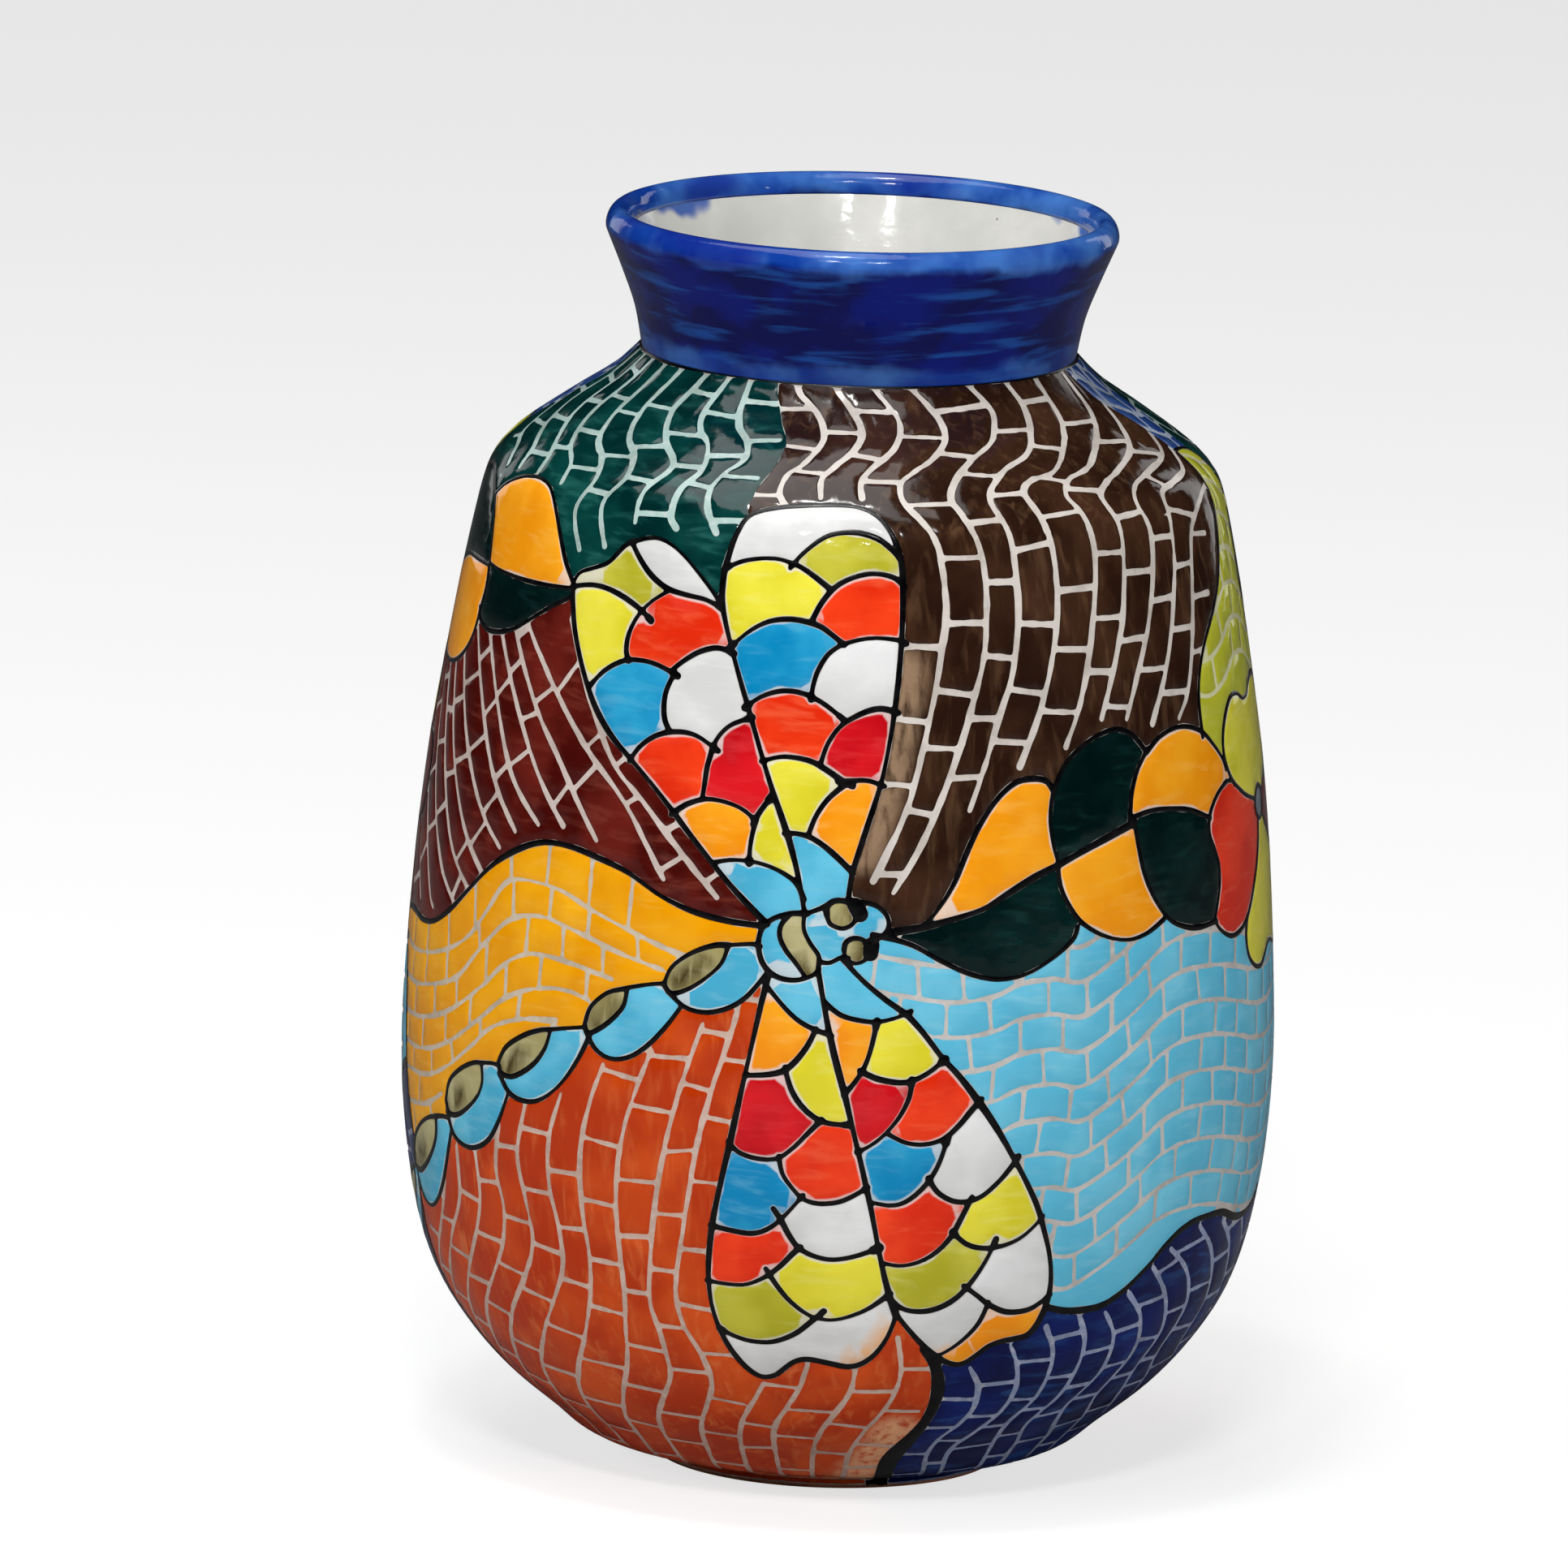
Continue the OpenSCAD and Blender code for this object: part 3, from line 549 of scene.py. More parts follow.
ORANGE = [
    [(-12.6, 169), (-13.5, 159), (-15, 149), (-16.7, 138), (-18.2, 126), (-19.4, 112), (-20.6, 99),
     (-21.5, 88),
     (-20.9, 79), (-18.5, 69), (-18, 60), (-20.3, 50), (-23, 40), (-25, 25), (-26, 5)],
    [(-18, 156), (-20.5, 141), (-22.5, 126), (-24, 110), (-25, 95), (-25.5, 84), (-24.5, 74), (-24.5, 62),
     (-27.6, 52), (-31, 42), (-33.5, 28), (-34, 5)],
    [(-25, 148), (-27.3, 136), (-29, 124), (-29.8, 110), (-29.6, 96), (-29.4, 86), (-30, 76), (-31.5, 64),
     (-35.5, 51), (-39.5, 38), (-41.5, 24), (-42, 5)],
    [(-32, 143), (-34, 132), (-35.3, 120), (-35.2, 106), (-34.5, 93), (-35.3, 82), (-38, 70), (-42.5, 58),
     (-47, 45), (-49.5, 28), (-50, 5)],
    [(-38.5, 134), (-40.5, 122), (-40.6, 110), (-39.2, 98), (-39.6, 88), (-43, 77), (-47.5, 66), (-53, 53),
     (-56.5, 38), (-58.5, 22), (-59, 5)],
    [(-44.8, 129), (-46.3, 116), (-45, 104), (-44.5, 94), (-47.2, 84), (-51.8, 74), (-57, 62), (-62, 48),
     (-65, 34), (-67, 18), (-68, 5)],
    [(-50, 122), (-50.8, 111), (-49.7, 101), (-51, 91), (-55, 81), (-60, 71), (-65, 58), (-69, 44)],
    [(-55.4, 114), (-54.9, 102.5), (-57, 92.5), (-61.4, 81), (-66.7, 69), (-71, 56)],
    [(-60.1, 113), (-60.4, 100), (-64.7, 89), (-69.4, 77.5), (-74, 65)],
    [(-64.5, 102.5), (-67.4, 92.5), (-72.7, 81), (-77, 70)],
]
UNDER_WING = [
    [(-9.7, 62), (-11.4, 56), (-14.4, 46), (-16.5, 34), (-17.5, 20), (-18, 5)],
    [(-3, 69.5), (-4.3, 61), (-6.5, 53), (-9, 44), (-10, 30), (-10, 5)],
    [(3.9, 68), (3.4, 60), (1.4, 52), (-1, 43), (-2.6, 30), (-3, 5)],
    [(9.5, 78), (10.6, 68), (10.2, 59), (8.6, 51), (6.2, 42), (4.4, 28), (4.5, 5)],
]
LIME_ROW = [(56, 243), (62, 239), (68, 241), (74, 246), (80, 245), (86, 240), (94, 240)]
LIME = [shift(LIME_ROW, s=8.7 * i) for i in range(-1, 6)]
DUSK_ROW = [(64, 316), (72, 321), (78, 317), (84, 312), (90, 315), (96, 320)]
DUSK = [shift(DUSK_ROW, s=8.7 * i) for i in range(-4, 2)]

# The brown beside the wing: a guide along the wing, and the long line that faces it
BY_WING = [
    [(7.6, 262), (7.3, 250), (6.5, 235), (5, 219), (3, 206.5), (1.2, 195.5)],
    [(14, 258), (13.1, 247), (11.9, 236), (10.1, 222), (8.4, 211), (6.3, 202)],
]
# The amber under the wave: the wave itself, and the row that faces it
BY_WAVE = [
    [(-88, 163), (-75, 164.5), (-70, 166), (-65, 170.5), (-60, 177.5), (-55, 185), (-50, 190.5), (-45, 194),
     (-40, 194.5), (-35, 193), (-30, 190.5), (-25, 186), (-20, 183)],
    [(-88, 157), (-79, 156), (-70.3, 158), (-63.2, 162), (-58.5, 167), (-55, 174), (-51.4, 182),
     (-47.3, 184), (-41, 183.5), (-36, 180.5), (-30, 177), (-24, 173.5)],
]
# How the rungs of a field lie, and the weights on round and up that make them lie so
SLANT = {"level": (0.4, 1.0), "upright": (1.0, 0.4), "square": (1.0, 1.0)}
# Where a second colour was brushed over an enamel: lines, brush width, and how far it fades
WASHES = {
    "brown_bricks": ([[(8, 244), (7, 235), (5.5, 219), (3.5, 206.5), (2.5, 200)]], 7, 3),
    "orange_bricks": ([[(7, 14), (9, 24), (11, 36), (12, 44)]], 8, 4),
    "cream_leaves": ([[(-22, 165.5), (-20, 168.5), (-18.5, 171)], [(-33.5, 153), (-32, 156), (-31, 158)],
                      [(-48.5, 136.5), (-47, 139), (-46, 141)], [(-61.3, 122), (-60, 124.5), (-58.5, 127)],
                      [(-75, 103), (-73, 106), (-71.5, 108)], [(-5.6, 172), (-4.8, 170.3), (-4.5, 169.5)],
                      [(1.2, 184.5), (1.4, 183.4), (1, 182.6)], [(3, 176.8), (3, 175.6),
                                                                 (2.6, 174.6)]], 2.0, 2.8),
    "white_scales": ([[(3, 71), (6.5, 75), (8, 80)], [(16.5, 72.5), (19.5, 72), (22, 75.5)]], 1.5, 3.5),
}
# Fields of bricks: a point inside each, its families of long lines with the reach of the outer rungs,
# how the rungs lie, brick length, line width, colour of the lines. A family with no reach is only a pair
# of guides.
FIELDS = {
    "brown_bricks": ([(25, 262)], [(BROWN, (-9, 9)), (BY_WING, None)], "level", 15.5, 1.35, (214, 206, 198)),
    "teal_bricks": ([(-60, 300)], [(TEAL, (9, -9))], "level", 13, 1.35, (170, 196, 190)),
    "maroon_bricks": ([(-55, 215)], [(MAROON, (9, -9))], "square", 14, 1.2, (206, 190, 182)),
    "amber_bricks": ([(-45, 172)], [(AMBER, (0, -9)), (BY_WAVE, None)], "upright", 13.5, 1.0,
                     (206, 190, 168)),
    "light_blue_bricks": ([(45, 140)], [(SKY, (0, 0))], "upright", 13, 1.0, (200, 196, 192)),
    "navy_bricks": ([(32, 58), (94, 104)], [(NAVY, (-9, 9))], "level", 12.5, 1.1, (142, 154, 186)),
    "orange_bricks": ([(-40, 80)], [(ORANGE, (9, -9)), (UNDER_WING, (0, 9))], "level", 15.5, 1.1,
                      (206, 176, 160)),
    "lime_bricks": ([(72, 236)], [(LIME, (0, 0))], "upright", 12.5, 1.2, (222, 222, 172)),
    "dusk_blue_bricks": ([(80, 310)], [(DUSK, (0, 0))], "upright", 12.5, 1.4, (166, 180, 200)),
}


# ------------------------------------------------------------------ painting

# Rungs: how unevenly they are spaced as a share of a brick, how far their far ends wander in mm, the
# longest in bricks, and how far below the collar they stop in mm
UNEVEN, WANDER, LONGEST_RUNG, CLEAR_OF_COLLAR = 0.12, 0.3, 1.6, 5
# Distances in mm from ink and from a soft edge where a fill stops, and where it is grown back to
INK_WALL, SOFT_WALL, SOFT_REACH = 0.05, 0.4, 0.6
# Unpainted strip at the lower end of the outline, and the drop between the inside of a patch and what
# lies outside it, in mm
FOOT_MARGIN = 0.6
RIM_DROP = 0.01
# Widths in mm of the arches and of the tail's outlines, the least and greatest widths of the blobs at the
# end and at the start of an arch, and the share of arches that have one at the start
ARCH_WIDTH, TAIL_WIDTH = 1.3, 1.35
END_BLOB, START_BLOB = (1.4, 2.0), (1.4, 1.9)
START_BLOB_SHARE = 0.5


def ink_strokes():
    """Every black stroke, as a width and a curve."""
    for width, line in EDGES + WINGS + HEAD + CHAINS + FLOWER:
        yield width, smooth(line)
    for line in ARCHES:
        path = smooth(line)
        yield ARCH_WIDTH, path
        yield rng.uniform(*END_BLOB), path[-3:]
        if rng.random() < START_BLOB_SHARE:
            yield rng.uniform(*START_BLOB), path[:3]
    for segment in TAIL:
        for line in segment:
            yield TAIL_WIDTH, smooth(line)
    stem = smooth(STEM)
    yield stem[:, 2], stem[:, :2]


def copies(path, turns):
    """The path turned round the vase by each turn, where it still reaches the grid."""
    for turn in turns:
        there = path + [turn, 0.0]
        if there[:, 0].max() > A0 and there[:, 0].min() < A1:
            yield there


def paint_ink():
    """Distance to the black ink of this side alone, and with what reaches in from the other side."""
    own, both = Strokes(), Strokes()
    for width, path in ink_strokes():
        width = wobble(path, width)
        own.draw(path, width)
        both.draw(path, width)
        for there in copies(path, (-180.0, 180.0)):
            both.draw(there, width)
    return own.d, both.d


def paint_soft_edges():
    """Distance to the borders without ink, with those of the other side."""
    strokes = Strokes()
    for line in SOFT_EDGES:
        for there in copies(smooth(line), (-180.0, 0.0, 180.0)):
            strokes.draw(there, 0.0)
    return strokes.d


def rungs(strokes, here, there, row, brick, width, way):
    """Short lines across from one curve to another, half a brick off from row to row."""
    place = here[:, 0] * BELLY if way == "upright" else here[:, 1]
    order = np.argsort(place)
    first = math.ceil(place.min() / brick + 0.5 * (row % 2))
    at = (np.arange(first, place.max() / brick + 1) - 0.5 * (row % 2)) * brick
    at = at + rng.uniform(-UNEVEN, UNEVEN, len(at)) * brick
    highest = place.max() if way == "upright" else min(place.max(), S_TOP - CLEAR_OF_COLLAR)
    at = at[(at > place.min()) & (at < highest)]
    for p in along(here[order], place[order], at):
        gap = (there - p) * [mm_per_degree(p[1]), 1.0]
        nearest = np.argmin(np.hypot(*(gap * SLANT[way]).T) + rng.uniform(0, WANDER, len(gap)))
        q = there[nearest]
        if 0 < nearest < len(there) - 1 and np.hypot(*gap[nearest]) < LONGEST_RUNG * brick:
            strokes.draw(np.array([p, (p + q) / 2, q]), width * rng.uniform(0.8, 1.05))


def beside(curve, distance, way):
    """The curve moved by a distance: round the vase if the way is level, or else square to itself."""
    k = mm_per_degree(curve[:, 1])
    if way == "level":
        return curve + np.stack([distance / k, 0 * k], axis=1)
    step = np.gradient(curve, axis=0) * np.stack([k, np.ones(len(k))], axis=1)
    step /= np.hypot(step[:, 0], step[:, 1])[:, None]
    return curve + distance * np.stack([-step[:, 1] / k, step[:, 0]], axis=1)


def paint_joints(families, brick, width, way):
    """Long lines with rungs between them, and rungs from the outer two towards the borders."""
    strokes = Strokes()
    for lines, reach in families:
        curves = [smooth(line) for line in lines]
        if reach is None:
            rungs(strokes, curves[1], curves[0], 0, brick, width, way)
            continue
        for curve in curves:
            strokes.draw(curve, wobble(curve, width))
        if reach[0]:
            rungs(strokes, curves[0], beside(curves[0], reach[0], way), 1, brick, width, way)
        for row, (here, there) in enumerate(zip(curves[:-1], curves[1:])):
            rungs(strokes, here, there, row, brick, width, way)
        if reach[1]:
            rungs(strokes, curves[-1], beside(curves[-1], reach[1], way), len(curves) - 1, brick, width, way)
    return strokes.d


def flood(open_cells, seeds):
    """Cells that can be reached from the seeds."""
    rows, cols = open_cells.shape
    inside = np.zeros_like(open_cells)
    todo = [(int((s - S0) / DS), int((a - A0) / DA)) for a, s in seeds]
    free = open_cells.copy()
    while todo:
        r, c = todo.pop()
        if not free[r, c]:
            continue
        line = free[r]
        left = c
        while left > 0 and line[left - 1]:
            left -= 1
        right = c
        while right < cols - 1 and line[right + 1]:
            right += 1
        inside[r, left:right + 1] = True
        line[left:right + 1] = False
        for near in (r - 1, r + 1):
            if 0 <= near < rows:
                span = np.flatnonzero(free[near, left:right + 1])
                starts = span[np.insert(np.diff(span) > 1, 0, True)] if len(span) else span
                todo.extend((near, left + int(k)) for k in starts)
    return inside


def grown(mask, times):
    """The mask and the cells next to it."""
    for _ in range(times):
        wide = mask.copy()
        wide[1:] |= mask[:-1]
        wide[:-1] |= mask[1:]
        wide[:, 1:] |= mask[:, :-1]
        wide[:, :-1] |= mask[:, 1:]
        mask = wide
    return mask


own_ink, ink = paint_ink()
soft = paint_soft_edges()
barrier = (ink < INK_WALL) | (soft < SOFT_WALL)


def territory(seeds):
    """Distance into the patch round the seeds: positive inside, negative outside."""
    inside = flood(~barrier, seeds)
    near = grown(inside, 2) & (soft < SOFT_REACH) & (ink > 0)
    inside |= near
    foot = (ROWS - S_LOW - FOOT_MARGIN)[:, None]
    room = np.minimum(np.minimum(ink, soft), foot)
    return np.where(inside, room, np.where(ink < 0, ink, -np.abs(room)) - RIM_DROP)


def blurred(field, times=2):
    """The field with its sharp corners rounded, as glaze rounds them when it melts."""
    for _ in range(times):
        for axis in (0, 1):
            a, b = np.roll(field, 1, axis), np.roll(field, -1, axis)
            field = 0.25 * a + 0.5 * field + 0.25 * b
    return field


def ripple(cell, height):
    """Slow random waves over the grid, about a cell long in mm and of the height given."""
    rows = np.linspace(0, (S1 - S0) / cell, len(ROWS))
    cols = np.linspace(0, (A1 - A0) * BELLY / cell, len(COLS))
    knots = rng.uniform(-height, height, (int(rows[-1]) + 2, int(cols[-1]) + 2))
    r, c = rows.astype(int)[:, None], cols.astype(int)[None, :]
    u, v = (rows % 1)[:, None], (cols % 1)[None, :]
    u, v = u * u * (3 - 2 * u), v * v * (3 - 2 * v)
    low = knots[r, c] * (1 - v) + knots[r, c + 1] * v
    high = knots[r + 1, c] * (1 - v) + knots[r + 1, c + 1] * v
    return low * (1 - u) + high * u


def sample(field, a, s):
    """The field at points, blended between grid cells."""
    x = np.clip((np.asarray(a) - A0) / DA, 0, len(COLS) - 1.001)
    y = np.clip((np.asarray(s) - S0) / DS, 0, len(ROWS) - 1.001)
    c, r = x.astype(int), y.astype(int)
    u, v = x - c, y - r
    return ((field[r, c] * (1 - u) + field[r, c + 1] * u) * (1 - v)
            + (field[r + 1, c] * (1 - u) + field[r + 1, c + 1] * u) * v)


def contours(field, level):
    """Closed loops of (a, s) points along which the field crosses the level."""
    v = field - level
    v[0], v[-1], v[:, 0], v[:, -1] = -1, -1, -1, -1
    up = v > 0
    rows, cols = v.shape
    flat = np.arange(rows * cols).reshape(rows, cols)
    sides = {
        "b": (up[:-1, :-1] != up[:-1, 1:], flat[:-1, :-1]),
        "r": (up[:-1, 1:] != up[1:, 1:], flat[:-1, 1:] + rows * cols),
        "t": (up[1:, :-1] != up[1:, 1:], flat[1:, :-1]),
        "l": (up[:-1, :-1] != up[1:, :-1], flat[:-1, :-1] + rows * cols),
    }
    crossed = sum(hit.astype(int) for hit, _ in sides.values())
    middle = (v[:-1, :-1] + v[:-1, 1:] + v[1:, :-1] + v[1:, 1:]) > 0
    same = (crossed == 4) & (middle == up[:-1, :-1])
    other = (crossed == 4) & (middle != up[:-1, :-1])
    first, second = [], []
    for p, q in ("br", "bt", "bl", "rt", "rl", "tl"):
        both = sides[p][0] & sides[q][0] & (crossed == 2)
        both |= same if p + q in ("br", "tl") else other if p + q in ("bl", "rt") else False
        first.append(sides[p][1][both])
        second.append(sides[q][1][both])
    ends = np.concatenate(first + second)
    mates = np.concatenate(second + first)
    order = np.argsort(ends, kind="stable")
    ids = ends[order][::2]
    links = np.searchsorted(ids, np.stack([mates[order][::2], mates[order][1::2]], axis=1))
    upright = ids >= rows * cols
    r, c = np.divmod(ids % (rows * cols), cols)
    here = v[r, c]
    there = v[np.minimum(r + upright, rows - 1), np.minimum(c + ~upright, cols - 1)]
    part = here / (here - there)
    points = np.stack([A0 + (c + part * ~upright) * DA, S0 + (r + part * upright) * DS], axis=1)
    return [points[chain] for chain in chains(links.tolist())]


def chains(links):
    """Loops of indices, each linked to the next."""
    seen = [False] * len(links)
    for start in range(len(links)):
        if seen[start]:
            continue
        chain, before, here = [], -1, start
        while not seen[here]:
            seen[here] = True
            chain.append(here)
            a, b = links[here]
            before, here = here, b if a == before else a
        yield chain


def thinned(loop, slack=0.035, passes=4):
    """The loop in belly mm without points that lie on the line between their neighbours."""
    loop = loop * [BELLY, 1.0]
    for _ in range(passes):
        if len(loop) < 10:
            break
        before, after = np.roll(loop, 1, 0), np.roll(loop, -1, 0)
        chord, arm = after - before, loop - before
        off = np.abs(chord[:, 0] * arm[:, 1] - chord[:, 1] * arm[:, 0])
        keep = off > slack * np.hypot(chord[:, 0], chord[:, 1])
        keep[::2] = True
        loop = loop[keep]
    return loop


# Smallest patch in mm that is built, share of a grid's spacing between its rows, and room in spacings
# that a grid point needs inside the innermost rim
SMALLEST_PATCH = 1.0
ROW_SHARE = 0.87
RIM_ROOM = 0.35
# Step in mm for the slope of a field, and how far normals lean at distances from a rim
NEAR = 0.25
EDGE_LEAN = ([0.0, 0.35, 1.2, 2.0], [0.30, 0.16, 0.03, 0.0])


def patch(field, rims, spacing):
    """Triangles over every part of the grid where the field is positive.

    rims are (distance in, depth) pairs. Returns (a, s, depth, distance in) rows and triangles.
    """
    rows, edges = [], []
    for inward, depth in rims:
        for loop in contours(field, inward):
            loop = thinned(loop)
            if len(loop) < 4 or np.ptp(loop, axis=0).max() < SMALLEST_PATCH:
                continue
            n = len(rows)
            rows += [(x, y, depth, inward) for x, y in loop.tolist()]
            edges += [(n + i, n + (i + 1) % len(loop)) for i in range(len(loop))]
    if not rows:
        return np.zeros((0, 4)), np.zeros((0, 3), int)
    deepest, top = rims[-1]
    grid_a, grid_s = np.meshgrid(np.arange(A0, A1, spacing / BELLY), np.arange(S0, S1, spacing * ROW_SHARE))
    grid_a[1::2] += spacing / BELLY / 2
    room = sample(field, grid_a, grid_s)
    fits = room > deepest + RIM_ROOM * spacing
    rows += [(a * BELLY, s, top, d) for a, s, d in zip(grid_a[fits], grid_s[fits], room[fits])]
    rows = np.array(rows)
    verts, _, faces, source, _, _ = delaunay_2d_cdt(
        [Vector(p) for p in rows[:, :2].tolist()], edges, [], 0, 1e-4, True)
    origin = np.array([ids[0] if ids else 0 for ids in source])
    flat = np.array([tuple(v) for v in verts])
    tris = np.array([f for f in faces if len(f) == 3])
    middle = flat[tris].mean(axis=1)
    inside = sample(field, middle[:, 0] / BELLY, middle[:, 1]) > 0
    tris = tris[inside]
    used, tris = np.unique(tris, return_inverse=True)
    data = rows[origin[used]]
    data[:, 0] = flat[used, 0] / BELLY
    data[:, 1] = flat[used, 1]
    return data, tris.reshape(-1, 3)


def closed(data, tris, under):
    """The patch with a back to it, at the depth under, so that it is a solid."""
    ring = np.sort(np.concatenate([tris[:, [0, 1]], tris[:, [1, 2]], tris[:, [2, 0]]]), axis=1)
    pairs, count = np.unique(ring, axis=0, return_counts=True)
    rim = np.zeros(len(data), bool)
    rim[pairs[count == 1]] = True
    back = data[~rim].copy()
    back[:, 2] = under
    number = np.arange(len(data))
    number[~rim] = len(data) + np.arange(len(back))
    return np.vstack([data, back]), np.vstack([tris, number[tris][:, ::-1]])


def leaning(data, field, count):
    """Normals of the surface at the first points, leaning over towards the rim, and inward at the rest."""
    a, s, _, edge = data.T
    k, t = mm_per_degree(s), np.radians(a)
    nr, nz = np.interp(s, BODY.s, BODY.nr), np.interp(s, BODY.s, BODY.nz)
    out = np.stack([nr * np.sin(t), -nr * np.cos(t), nz], axis=1)
    east = np.stack([np.cos(t), np.sin(t), 0 * t], axis=1)
    north = np.stack([-nz * np.sin(t), nz * np.cos(t), nr], axis=1)
    across = (sample(field, a + NEAR / k, s) - sample(field, a - NEAR / k, s)) / (2 * NEAR)
    upward = (sample(field, a, s + NEAR) - sample(field, a, s - NEAR)) / (2 * NEAR)
    lean = np.interp(edge, *EDGE_LEAN)
    normals = out - (lean * across)[:, None] * east - (lean * upward)[:, None] * north
    normals[count:] = -out[count:]
    return normals / np.linalg.norm(normals, axis=1)[:, None]


def build(name, points, faces, floats=None, colours=None, normals=None):
    """A mesh object from points in metres, with values kept on its points."""
    mesh = bpy.data.meshes.new(name)
    mesh.from_pydata(points.tolist(), [], faces.tolist())
    for key, values in (floats or {}).items():
        mesh.attributes.new(key, "FLOAT", "POINT").data.foreach_set("value", np.asarray(values, np.float32))
    for key, values in (colours or {}).items():
        layer = mesh.attributes.new(key, "FLOAT_COLOR", "POINT")
        layer.data.foreach_set("color", np.asarray(values, np.float32).ravel())
    mesh.shade_smooth()
    mesh.update()
    if normals is not None:
        mesh.normals_split_custom_set_from_vertices(normals.tolist())
    piece = bpy.data.objects.new(name, mesh)
    bpy.context.scene.collection.objects.link(piece)
    return piece


def finish_piece(piece, material, node):
    """The piece gets its material and takes the place of the node on the vase."""
    piece.data.materials.append(material)
    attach(piece, "root")
    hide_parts(node)


def lay(name, field, rims, spacing, material, extra=None):
    """The same pads on the front and on the back. extra is a field kept on their points as pale."""
    data, tris = patch(field, rims, spacing)
    count = len(data)
    data, tris = closed(data, tris, rims[0][1] + PAD_BACK_BELOW)
    floats = {"edge": data[:, 3]}
    if extra is not None:
        floats["pale"] = sample(extra, data[:, 0], data[:, 1])
    normals = leaning(data, field, count)
    for side, turn in SIDES.items():
        points = BODY.at(data[:, 0] + turn, data[:, 1], data[:, 2])
        turned = normals if turn == 0 else normals * [-1, -1, 1]
        piece = build(name + "_" + side, points, tris, floats, normals=turned)
        finish_piece(piece, material, "body_glaze")


# ------------------------------------------------------------------ turned coats of glaze

def shell(outline, lengths, outer, inner, turns=360):
    """Points and faces of a closed coat round the vase between two depths, and each point's a and s."""
    a = np.arange(turns) * 360.0 / turns
    path = np.concatenate([lengths, lengths[::-1]])
    depth = np.repeat([outer, inner], len(lengths))
    points = outline.at(a[:, None], path[None, :], depth[None, :])
    n = len(path)
    number = np.arange(turns * n).reshape(turns, n)
    east, north = np.roll(number, -1, 0), np.roll(number, -1, 1)
    faces = np.stack([number, east, np.roll(east, -1, 1), north], axis=-1).reshape(-1, 4)
    return points.reshape(-1, 3), faces, np.repeat(a, n), np.tile(path, turns)


# How far the end of the cobalt coat stands proud of the white lining that it laps over, and the levels
# in mm below the top of the lining that it passes
LAP_PROUD = 0.12
LAP_LEVELS = np.array([0.3, 0.6, 0.9])
# How far the coat turns in and down at the crease, in mm
SKIRT_IN, SKIRT_DOWN = 0.1, 0.7


def lip_outline():
    """The collar's coat from the crease up the outside, over the lip and down to the lining."""
    low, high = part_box("collar_glaze")
    bottom, top = low.z / MM, high.z / MM
    lining_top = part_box("inner_glaze")[1].z / MM
    turn = np.radians(np.linspace(0, 89.0, 40))
    rise = lining_top + (top - lining_top) * np.sin(turn)
    up = np.concatenate([np.arange(bottom + 0.02, lining_top - 0.2, 0.5), rise])
    outside = radii("collar_glaze", up)
    inside = radii("collar_glaze", rise[::-1], inner=True)
    drop = lining_top - LAP_LEVELS
    lapped = radii("inner_glaze", drop, inner=True) - LAP_PROUD
    radius = np.concatenate([[outside[0] - SKIRT_IN], outside, inside, lapped])
    height = np.concatenate([[bottom - SKIRT_DOWN, bottom], up[1:], rise[::-1], drop])
    return Outline(radius, height, soft=5, step=0.4)


LIP = lip_outline()


# ------------------------------------------------------------------ materials

def srgb(*rgb):
    """A colour given in display values from 0 to 255."""
    c = np.array(rgb) / 255
    return tuple(np.where(c <= 0.04045, c / 12.92, ((c + 0.055) / 1.055) ** 2.4).tolist()) + (1.0,)


